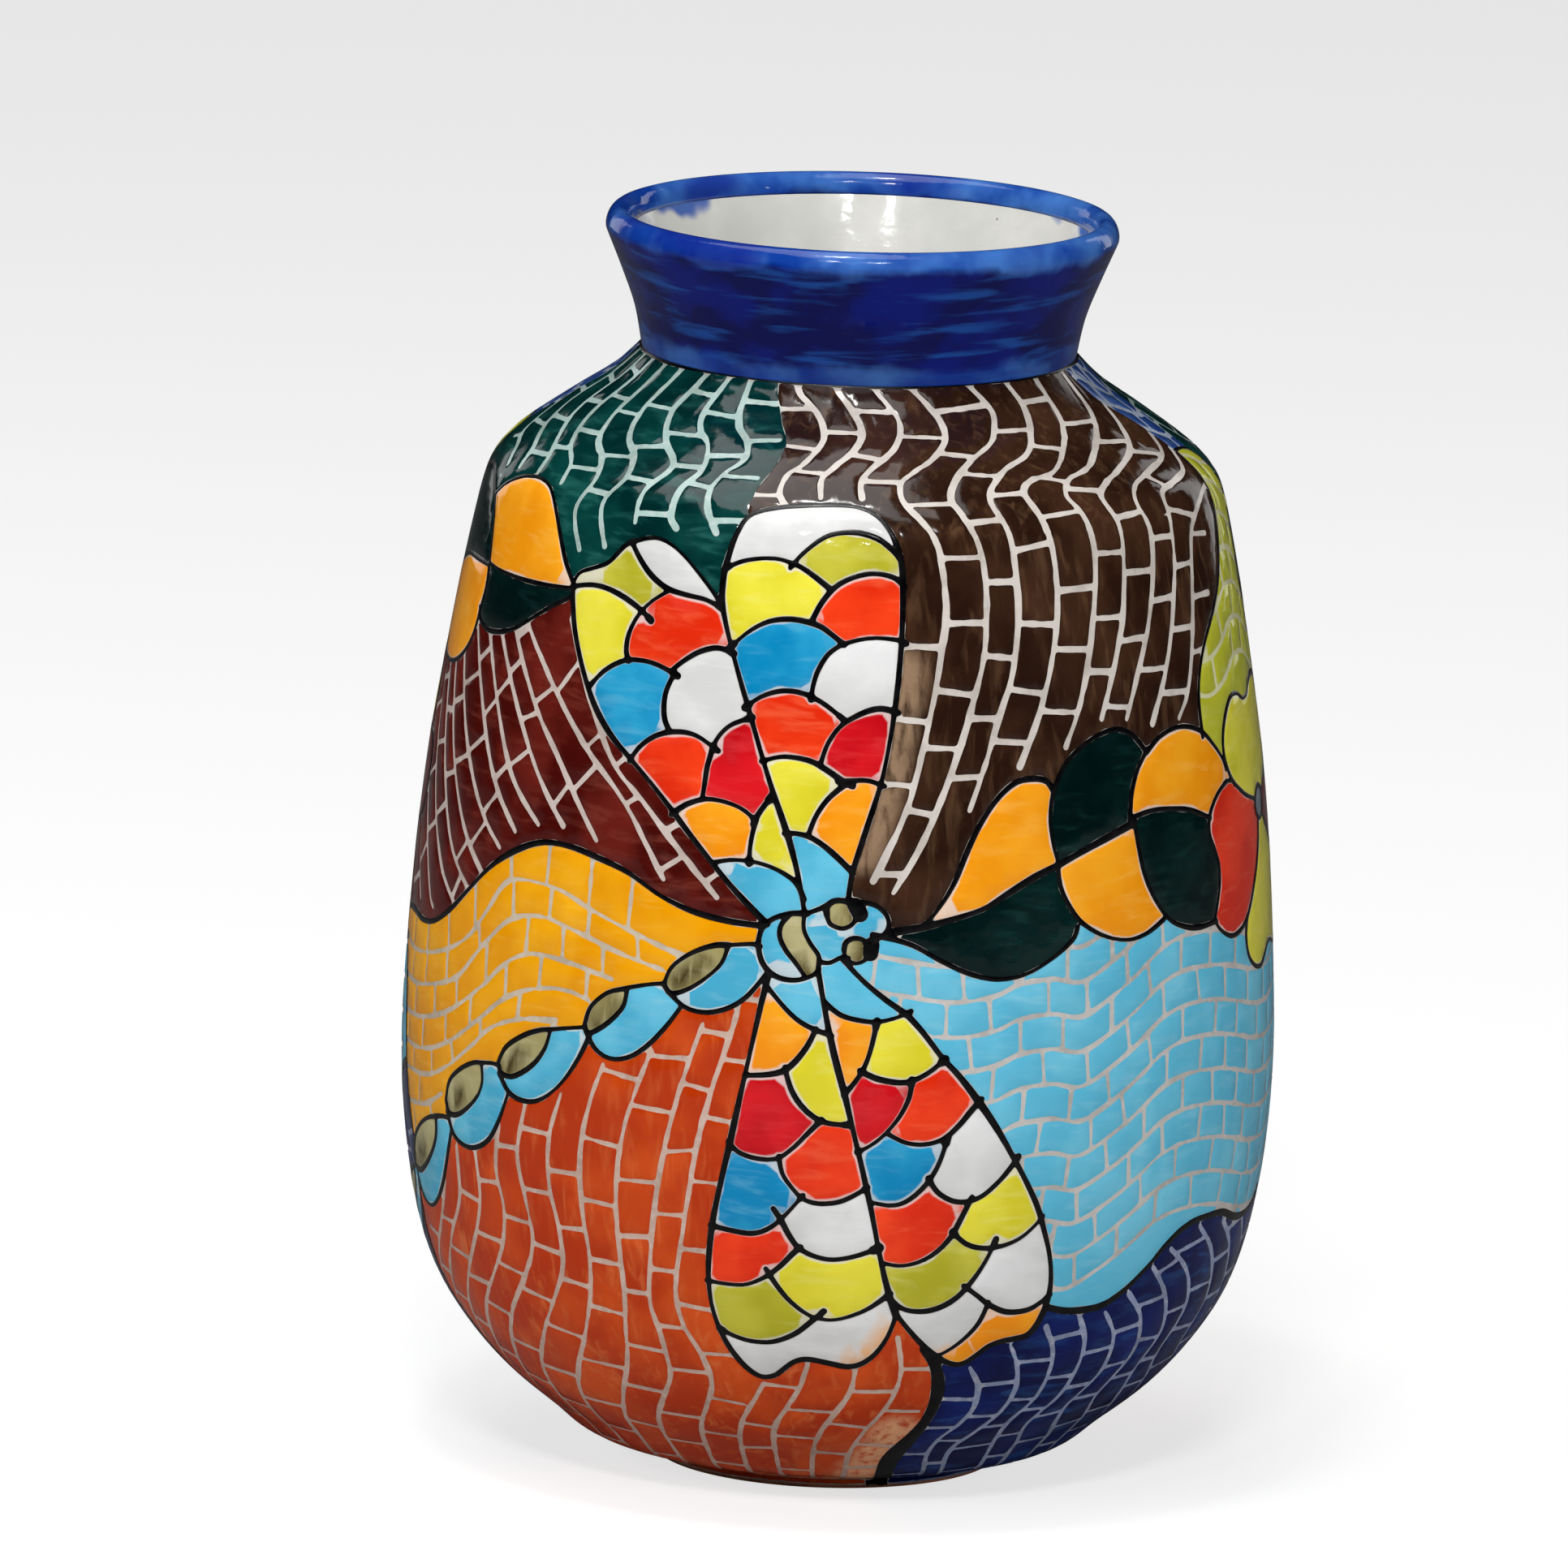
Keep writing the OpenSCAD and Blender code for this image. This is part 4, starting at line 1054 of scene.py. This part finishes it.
class Glaze:
    """A node material under construction. Its coordinates are millimetres on the object."""

    def __init__(self, name, coat=0.0):
        self.material = bpy.data.materials.new(name)
        self.material.use_nodes = True
        self.tree = self.material.node_tree
        self.shader = self.tree.nodes["Principled BSDF"]
        self.shader.inputs["Coat Weight"].default_value = coat
        self.shader.inputs["Coat Roughness"].default_value = 0.04
        place = self.add("TexCoord").outputs["Object"]
        self.mm = self.add("VectorMath", {0: place, "Scale": 1 / MM}, operation="SCALE").outputs[0]

    def add(self, kind, inputs=None, **settings):
        node = self.tree.nodes.new("ShaderNode" + kind)
        for key, value in settings.items():
            setattr(node, key, value)
        for key, value in (inputs or {}).items():
            self.plug(node.inputs[key], value)
        return node

    def plug(self, socket, value):
        if isinstance(value, bpy.types.NodeSocket):
            self.tree.links.new(value, socket)
        else:
            socket.default_value = value

    def noise(self, scale, detail=3.0, stretch=(1, 1, 1), twist=0.0):
        """Noise from 0 to 1, finer as scale grows, in waves per mm."""
        place = self.add("VectorMath", {0: self.mm, 1: stretch}, operation="MULTIPLY").outputs[0]
        made = self.add("TexNoise", {"Vector": place, "Scale": scale, "Detail": detail, "Distortion": twist})
        return made.outputs["Fac"]

    def ramp(self, value, low, high, start=0.0, end=1.0):
        """start up to low, end from high on, and a smooth step between."""
        made = self.add("MapRange", {"Value": value, "From Min": low, "From Max": high, "To Min": start,
                                     "To Max": end}, interpolation_type="SMOOTHSTEP")
        return made.outputs[0]

    def math(self, operation, a, b=0.0):
        return self.add("Math", {0: a, 1: b}, operation=operation).outputs[0]

    def mix(self, factor, a, b, blend="MIX"):
        return self.add("MixRGB", {"Fac": factor, "Color1": a, "Color2": b}, blend_type=blend).outputs[0]

    def value(self, name):
        return self.add("Attribute", attribute_name=name).outputs["Fac"]

    def finish(self, colour, rough=(0.06, 0.16), peel=0.10, pits=0.0):
        """Wires up colour, uneven gloss, and the ripples and pinholes of a fired glaze."""
        self.plug(self.shader.inputs["Base Color"], colour)
        self.plug(self.shader.inputs["Roughness"], self.ramp(self.noise(0.12, 4), 0.3, 0.7, *rough))
        waves = self.add("Bump", {"Height": self.noise(0.16, 2), "Strength": peel, "Distance": 0.0012})
        fine = self.add("Bump", {"Height": self.noise(1.1, 3), "Strength": 0.12, "Distance": 0.00012,
                                 "Normal": waves.outputs[0]})
        last = fine
        if pits:
            holes = self.add("TexVoronoi", {"Vector": self.mm, "Scale": 0.22})
            pin = self.ramp(holes.outputs["Distance"], 0.03, 0.09)
            last = self.add("Bump", {"Height": pin, "Strength": pits, "Distance": 0.0003,
                                     "Normal": fine.outputs[0]})
        self.plug(self.shader.inputs["Normal"], last.outputs[0])
        return self.material


# How a brush stretches the noise: strokes that run round the vase, or up it
ROUND, UPRIGHT = (0.35, 0.35, 1.6), (1.5, 1.5, 0.3)


def enamel(name, deep, full, thin, halo=None, halo_width=0.85, streak=0.4, island=0.3, brush=ROUND,
           worn=None):
    """Painted enamel: deep where it pooled, thin where the brush dragged, pale or deep next to the ink."""
    g = Glaze(name)
    colour = g.mix(g.ramp(g.noise(0.05, 3), 0.38, 0.66), srgb(*deep), srgb(*full))
    drag = g.noise(0.22, 5, stretch=brush, twist=0.6)
    colour = g.mix(g.ramp(drag, 0.48, 0.78, 0.0, streak), colour, srgb(*thin))
    if island:
        each = g.add("NewGeometry").outputs["Random Per Island"]
        colour = g.mix(g.math("MULTIPLY", each, island), colour, srgb(*deep))
    if worn:
        faint = g.ramp(g.noise(0.30, 4, stretch=UPRIGHT), 0.25, 0.55)
        colour = g.mix(g.math("MULTIPLY", faint, g.value("pale")), colour, srgb(*worn))
    if halo:
        reach = g.math("ADD", g.value("edge"), g.ramp(g.noise(0.10, 2), 0.35, 0.65, -0.12, 0.45))
        colour = g.mix(g.ramp(reach, 0.3, halo_width, 0.7, 0.0), colour, srgb(*halo))
    else:
        colour = g.mix(g.ramp(g.value("edge"), 0.1, 0.7, 0.3, 0.0), colour, srgb(*deep))
    grain = g.ramp(g.noise(2.2, 2), 0.35, 0.7, 0.0, 0.12)
    colour = g.mix(grain, colour, srgb(*deep))
    return g.finish(colour)


def ground_material():
    """The pale glaze between the bricks, tinted by the field that it runs through."""
    g = Glaze("pale_ground")
    tint = g.add("Attribute", attribute_name="tint").outputs["Color"]
    colour = g.mix(g.ramp(g.noise(0.09, 4), 0.4, 0.7, 0.0, 0.35), tint, srgb(150, 140, 132), "MULTIPLY")
    colour = g.mix(g.ramp(g.noise(0.6, 3), 0.45, 0.75, 0.0, 0.3), colour, srgb(232, 226, 220))
    return g.finish(colour, rough=(0.10, 0.22))


def ink_material():
    """Manganese ink: near black, and duller than the enamels."""
    g = Glaze("manganese_ink")
    colour = g.mix(g.ramp(g.noise(0.3, 4), 0.35, 0.75), srgb(4, 4, 6), srgb(20, 18, 20))
    return g.finish(colour, rough=(0.16, 0.32))


def cobalt_material():
    """Cobalt brushed round the collar, thin on the lip and along the crease, with pale flecks under the lip
    painted in as highlights.
    """
    g = Glaze("cobalt_collar")
    height = g.add("SeparateXYZ", {0: g.mm}).outputs["Z"]
    smear = g.noise(0.10, 3, stretch=(0.4, 0.4, 3.2), twist=0.4)
    blot = g.noise(0.06, 2, stretch=(1, 1, 1.6))
    deep, full, thin = srgb(0, 6, 78), srgb(0, 18, 112), srgb(20, 76, 158)
    colour = g.mix(g.ramp(blot, 0.40, 0.62), deep, full)
    colour = g.mix(g.ramp(smear, 0.50, 0.72, 0.0, 0.8), colour, thin)
    low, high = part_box("collar_glaze")
    crease, top = low.z / MM, high.z / MM
    wander = g.ramp(g.noise(0.07, 3), 0.25, 0.75, -1.6, 1.6)
    level = g.math("ADD", height, wander)
    base = g.ramp(level, crease + 2.6, crease + 5.8, 0.6, 0.0)
    edge = g.ramp(level, top - 7.0, top - 3.8, 0.0, 1.0)
    pale = g.mix(g.ramp(g.noise(0.06, 3), 0.35, 0.7), srgb(18, 62, 156), srgb(72, 126, 204))
    colour = g.mix(g.math("MULTIPLY", g.math("MAXIMUM", base, edge), 0.9), colour, pale)
    blobs = g.ramp(g.noise(0.03, 2), 0.52, 0.66, 0.0, 0.8)
    colour = g.mix(g.math("MULTIPLY", blobs, edge), colour, srgb(6, 22, 132))
    # Painted highlights: pale specks under the lip stand in for small glints of light on the glaze.
    painted_glint = g.ramp(g.noise(0.32, 2, stretch=(1, 1, 2.5)), 0.74, 0.78)
    under_lip = g.math("MULTIPLY", edge, g.ramp(height, top - 2.5, top - 4.0))
    colour = g.mix(g.math("MULTIPLY", painted_glint, under_lip), colour, srgb(190, 206, 230))
    return g.finish(colour, peel=0.16)


def lining_material():
    """White tin glaze inside, grey where it is thin, with iron specks and a blue run at the lip."""
    g = Glaze("white_lining", 0.15)
    colour = g.mix(g.ramp(g.noise(0.05, 4), 0.35, 0.7), srgb(206, 206, 200), srgb(221, 220, 214))
    specks = g.add("TexVoronoi", {"Vector": g.mm, "Scale": 0.09, "Randomness": 1.0})
    size = g.ramp(g.noise(0.03, 1), 0.3, 0.7, 0.02, 0.07)
    dot = g.math("LESS_THAN", specks.outputs["Distance"], size)
    colour = g.mix(g.math("MULTIPLY", dot, 0.6), colour, srgb(74, 66, 58))
    height = g.add("SeparateXYZ", {0: g.mm}).outputs["Z"]
    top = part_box("inner_glaze")[1].z / MM
    run = g.math("ADD", height, g.ramp(g.noise(0.035, 3), 0.3, 0.72, -7.0, 3.5))
    colour = g.mix(g.ramp(run, top - 3.2, top - 0.6, 0.0, 0.92), colour, srgb(44, 92, 176))
    return g.finish(colour, pits=0.3)


def clay_material():
    """Low-fired red clay, rubbed smooth, with grit and the marks of turning."""
    g = Glaze("terracotta_clay")
    colour = g.mix(g.ramp(g.noise(0.08, 5), 0.35, 0.7), srgb(150, 84, 52), srgb(190, 122, 82))
    grit = g.ramp(g.noise(1.6, 4), 0.52, 0.72, 0.0, 0.6)
    colour = g.mix(grit, colour, srgb(214, 170, 132))
    g.plug(g.shader.inputs["Base Color"], colour)
    g.plug(g.shader.inputs["Roughness"], g.ramp(g.noise(0.5, 3), 0.3, 0.7, 0.75, 0.92))
    rings = g.noise(0.5, 2, stretch=(0.02, 0.02, 1.5))
    turned = g.add("Bump", {"Height": rings, "Strength": 0.35, "Distance": 0.0004})
    rough = g.add("Bump", {"Height": grit, "Strength": 0.4, "Distance": 0.0002, "Normal": turned.outputs[0]})
    g.plug(g.shader.inputs["Normal"], rough.outputs[0])
    return g.material


# Enamels: deep, full and thin colour, the pale halo next to the ink, the share of thin streaks, how far
# single bricks differ, the way of the brush, and the colour of a wash over it
PALE = (226, 224, 220)
ENAMELS = {
    "red_orange_scales": dict(deep=(226, 44, 14), full=(252, 72, 30), thin=(255, 124, 80), halo=PALE),
    "crimson_scales": dict(deep=(190, 12, 24), full=(226, 28, 36), thin=(236, 76, 80), halo=PALE),
    "orange_scales": dict(deep=(246, 146, 14), full=(255, 170, 34), thin=(255, 202, 104), halo=PALE),
    "yellow_scales": dict(deep=(222, 210, 44), full=(240, 230, 72), thin=(242, 236, 140), halo=PALE),
    "olive_scales": dict(deep=(180, 174, 40), full=(204, 198, 68), thin=(220, 216, 128), halo=PALE),
    "blue_scales": dict(deep=(8, 134, 188), full=(52, 170, 214), thin=(124, 198, 222), halo=PALE),
    "white_scales": dict(deep=(214, 214, 212), full=(236, 236, 236), thin=(244, 244, 244),
                         worn=(244, 186, 130)),
    "dragonfly_body": dict(deep=(72, 172, 208), full=(106, 198, 228), thin=(164, 216, 230), halo=PALE,
                           halo_width=0.45),
    "cream_leaves": dict(deep=(160, 150, 98), full=(198, 190, 144), thin=(220, 214, 182), worn=(66, 50, 10)),
    "orange_leaves": dict(deep=(246, 152, 14), full=(255, 172, 34), thin=(255, 196, 92), halo=PALE,
                          halo_width=0.8),
    "green_leaves": dict(deep=(2, 20, 20), full=(8, 38, 36), thin=(28, 74, 68)),
    "yellow_petals": dict(deep=(202, 194, 44), full=(226, 218, 70), thin=(236, 230, 132), halo=PALE,
                          halo_width=0.8),
    "red_petals": dict(deep=(206, 44, 24), full=(238, 66, 36), thin=(242, 116, 84), halo=PALE),
    "maroon_petals": dict(deep=(92, 18, 18), full=(132, 32, 28), thin=(170, 76, 64)),
    "flower_eyes": dict(deep=(96, 104, 114), full=(128, 136, 146), thin=(160, 166, 172)),
    "brown_bricks": dict(deep=(40, 22, 14), full=(70, 44, 30), thin=(112, 82, 58), streak=0.6, island=0.6,
                         brush=UPRIGHT, worn=(152, 124, 98)),
    "teal_bricks": dict(deep=(0, 38, 38), full=(8, 66, 62), thin=(48, 120, 112), streak=0.55, island=0.6),
    "maroon_bricks": dict(deep=(70, 12, 8), full=(112, 34, 26), thin=(150, 74, 60), streak=0.45, island=0.5),
    "amber_bricks": dict(deep=(238, 156, 4), full=(252, 180, 22), thin=(254, 206, 88), island=0.5),
    "light_blue_bricks": dict(deep=(92, 186, 218), full=(120, 204, 230), thin=(164, 216, 232), island=0.5),
    "navy_bricks": dict(deep=(0, 8, 66), full=(8, 34, 112), thin=(44, 100, 170), streak=0.6, island=0.6),
    "orange_bricks": dict(deep=(186, 54, 8), full=(222, 86, 24), thin=(240, 140, 76), streak=0.5, island=0.6,
                          brush=UPRIGHT, worn=(240, 176, 130)),
    "lime_bricks": dict(deep=(182, 184, 48), full=(208, 208, 76), thin=(222, 222, 134), island=0.5),
    "dusk_blue_bricks": dict(deep=(30, 60, 122), full=(58, 92, 158), thin=(112, 142, 190), island=0.5),
}

# Rims of a pad from its edge inward: distance in and depth, in mm
PAD_RIMS = [(0.0, PAD_FOOT), (0.35, PAD_TOP)]
INK_RIMS = [(0.0, PAD_FOOT), (0.12, INK_TOP)]
# How far the enamels run under the ink, and the spacing of points in the middle of a pad, in mm
PAD_LAP = 0.12
GRID_SPACING = 3.4
# Height of the plain band above the foot in mm, and how ragged its upper edge is
BAND = 7.0
BAND_RAGGED = 14
# Waves in the rims of the enamels: length and height in mm, and the share of them in the small patches
RIPPLE_CELL, RIPPLE_HEIGHT = 2.6, 0.16
CALM = 0.6
# Lengths in mm along the outline where the ground starts and where its even rings start, and its step
GROUND_LOW, GROUND_EVEN, GROUND_STEP = -2.3, -1.5, 2.0
# The ground's colour away from the fields, and how far in mm a field's line colour reaches past it
PLAIN_GROUND = (222, 216, 206)
TINT_REACH = 2.5
# Distance in mm between the rings of the collar's coat
COLLAR_STEP = 0.8


# ------------------------------------------------------------------ the pieces

def add_enamels():
    """Lays every enamel, and returns each field's distances with the colour of its lines."""
    waves = ripple(RIPPLE_CELL, RIPPLE_HEIGHT)
    worn = {name: wash(*strokes) for name, strokes in WASHES.items()}
    fields = []
    for name, seeds in CELLS.items():
        room = territory(seeds)
        lay(name, blurred(room + PAD_LAP + CALM * waves), PAD_RIMS, GRID_SPACING,
            enamel(name, **ENAMELS[name]), extra=worn.get(name))
    for name, (seeds, families, way, brick, width, line_colour) in FIELDS.items():
        room = territory(seeds)
        joints = paint_joints(families, brick, width, way)
        joints = np.where(ROWS[:, None] > BAND + BAND_RAGGED * waves, joints, FAR)
        lay(name, blurred(np.minimum(room + PAD_LAP, joints) + waves), PAD_RIMS, GRID_SPACING,
            enamel(name, **ENAMELS[name]), extra=worn.get(name))
        fields.append((room, line_colour))
    return fields


def wash(lines, width, fade):
    """Where another colour was brushed on along some lines: 1 on them, fading to 0 beside them."""
    strokes = Strokes()
    for line in lines:
        strokes.draw(smooth(line), width)
    return np.clip(1 - strokes.d / fade, 0, 1)


def add_ground(fields):
    """The pale ground glaze under all the enamels."""
    lengths = np.concatenate([[GROUND_LOW], np.arange(GROUND_EVEN, S_TOP, GROUND_STEP), [S_TOP]])
    points, faces, a, s = shell(BODY, lengths, GROUND, GROUND_BACK)
    best = np.full(len(a), -TINT_REACH)
    tint = np.tile(srgb(*PLAIN_GROUND), (len(a), 1))
    for turn in (-360.0, -180.0, 0.0):
        b = a + turn
        here = (b > A0) & (b < A1)
        for room, colour in fields:
            depth = np.where(here, sample(room, np.clip(b, A0, A1), s), -FAR)
            wins = depth > best
            tint[wins] = srgb(*colour)
            best[wins] = depth[wins]
    piece = build("ground_glaze", points, faces, colours={"tint": tint})
    finish_piece(piece, ground_material(), "body_glaze")


def add_collar():
    """The cobalt coat of the collar and the lip."""
    lengths = np.arange(0.0, LIP.s[-1], COLLAR_STEP)
    points, faces, _, _ = shell(LIP, lengths, COLLAR_TOP, COLLAR_BACK)
    piece = build("collar_cobalt", points, faces)
    finish_piece(piece, cobalt_material(), "collar_glaze")


def dress_frame():
    """Better materials for the CAD nodes that stay."""
    clay, lining = clay_material(), lining_material()
    for name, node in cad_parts.items():
        if name in ("foot_ring", "lower_body", "upper_body", "collar", "inner_glaze"):
            chosen = lining if name == "inner_glaze" else clay
            node.data.materials.clear()
            node.data.materials.append(chosen)


# Grey of the paper floor to the camera, in mirror images and in soft light, and its glow to the camera
PAPER = {"seen": 0.4, "mirrored": 0.14, "soft": 0.55, "glow": 0.70}
# Grey of the surround, and its strength to the camera, in mirror images and in soft light
SURROUND = {"grey": 0.05, "seen": 16.0, "mirrored": 0.07, "soft": 1.05}
# Half the side of the floor, in metres
FLOOR = 6.0
# Lamps: name, place and size in metres, watts, and whether the glaze mirrors them
LAMPS = [
    ("left_box", (-0.9, 1.3, 0.5), (0.4, 0.7), 0.7, True),
    ("right_box", (1.0, 1.3, 0.6), (0.3, 1.0), 1, True),
    ("left_fill", (-1.6, -1.2, 1.0), (0.6, 0.8), 12, False),
    ("right_fill", (1.6, -1.1, 0.6), (0.6, 0.8), 9, False),
    ("sky_sheet", (-0.3, -0.1, 2.0), (1.9, 1.3), 16, True),
    ("front_box", (-0.1, -2.4, 2.0), (0.5, 0.3), 31, False),
    ("lamp_a", (-0.45, -1.6, 1.6), (0.08, 0.08), 2.5, True),
    ("lamp_b", (0.25, -1.6, 1.6), (0.08, 0.08), 2, True),
    ("lamp_c", (-0.2, -0.5, 1.8), (0.2, 0.12), 5, True),
]
# Height in metres that the lamps point at
LAMP_AIM = 0.16


def by_ray(tree, kind, yes, no):
    """A grey value that depends on the kind of ray that meets it. no may be another such value."""
    rays = tree.nodes.new("ShaderNodeLightPath")
    made = tree.nodes.new("ShaderNodeMapRange")
    made.inputs["To Max"].default_value = yes
    if isinstance(no, bpy.types.NodeSocket):
        tree.links.new(no, made.inputs["To Min"])
    else:
        made.inputs["To Min"].default_value = no
    tree.links.new(rays.outputs[kind], made.inputs["Value"])
    return made.outputs[0]


def add_studio():
    """A pale floor and surround, dim where the glaze mirrors them, with soft boxes and three small lamps."""
    corners = np.array([(-1, -1, 0), (1, -1, 0), (1, 1, 0), (-1, 1, 0)]) * FLOOR
    floor = build("floor", corners, np.array([(0, 1, 2, 3)]))
    paper = bpy.data.materials.new("paper")
    paper.use_nodes = True
    tree, shader = paper.node_tree, paper.node_tree.nodes["Principled BSDF"]
    shader.inputs["Roughness"].default_value = 0.9
    shader.inputs["Specular IOR Level"].default_value = 0.0
    shader.inputs["Emission Color"].default_value = (1, 1, 1, 1)
    others = by_ray(tree, "Is Glossy Ray", PAPER["mirrored"], PAPER["soft"])
    tree.links.new(by_ray(tree, "Is Camera Ray", PAPER["seen"], others), shader.inputs["Base Color"])
    tree.links.new(by_ray(tree, "Is Camera Ray", PAPER["glow"], 0.0), shader.inputs["Emission Strength"])
    floor.data.materials.append(paper)
    world = bpy.data.worlds.new("surround")
    world.use_nodes = True
    tree, sky = world.node_tree, world.node_tree.nodes["Background"]
    sky.inputs["Color"].default_value = (SURROUND["grey"],) * 3 + (1,)
    others = by_ray(tree, "Is Glossy Ray", SURROUND["mirrored"], SURROUND["soft"])
    tree.links.new(by_ray(tree, "Is Camera Ray", SURROUND["seen"], others), sky.inputs["Strength"])
    bpy.context.scene.world = world
    aim = Vector((0, 0, LAMP_AIM))
    for name, place, size, watts, mirrored in LAMPS:
        light = bpy.data.lights.new(name, "AREA")
        light.shape = "RECTANGLE"
        light.size, light.size_y = size
        light.energy = watts
        lamp = bpy.data.objects.new(name, light)
        lamp.location = place
        lamp.visible_glossy = mirrored
        lamp.rotation_euler = (aim - Vector(place)).to_track_quat("-Z", "Y").to_euler()
        bpy.context.scene.collection.objects.link(lamp)
    bpy.context.scene.view_settings.view_transform = "Standard"


# The camera: degrees that it looks down and rolls, mm of lens, metres from the vase, and metres right
# and up from the vase's middle to the point that it looks at
TILT, ROLL = 11.18, 1.74
LENS, DISTANCE = 447.0, 4.81
AIM_RIGHT, AIM_UP = -0.0148, 0.0123


def add_camera():
    """A long lens a little above the shoulder, held slightly off level."""
    tilt, roll = math.radians(TILT), math.radians(ROLL)
    ahead = Vector((0, math.cos(tilt), -math.sin(tilt)))
    right = Vector((1, 0, 0))
    up = right.cross(ahead)
    rolled_right = right * math.cos(roll) + up * math.sin(roll)
    rolled_up = up * math.cos(roll) - right * math.sin(roll)
    middle = Vector((0, 0, 0.5 * cad_box[1][2]))
    target = middle + rolled_right * AIM_RIGHT + rolled_up * AIM_UP
    data = bpy.data.cameras.new("camera")
    data.sensor_width = 36.0
    data.lens = LENS
    camera = bpy.data.objects.new("camera", data)
    turn = Matrix((rolled_right, rolled_up, -ahead)).transposed()
    camera.matrix_world = Matrix.Translation(target - ahead * DISTANCE) @ turn.to_4x4()
    bpy.context.scene.collection.objects.link(camera)
    bpy.context.scene.camera = camera


fields = add_enamels()
lay("ink_lines", blurred(-own_ink, 1), INK_RIMS, GRID_SPACING, ink_material())
add_ground(fields)
add_collar()
dress_frame()
add_studio()
add_camera()
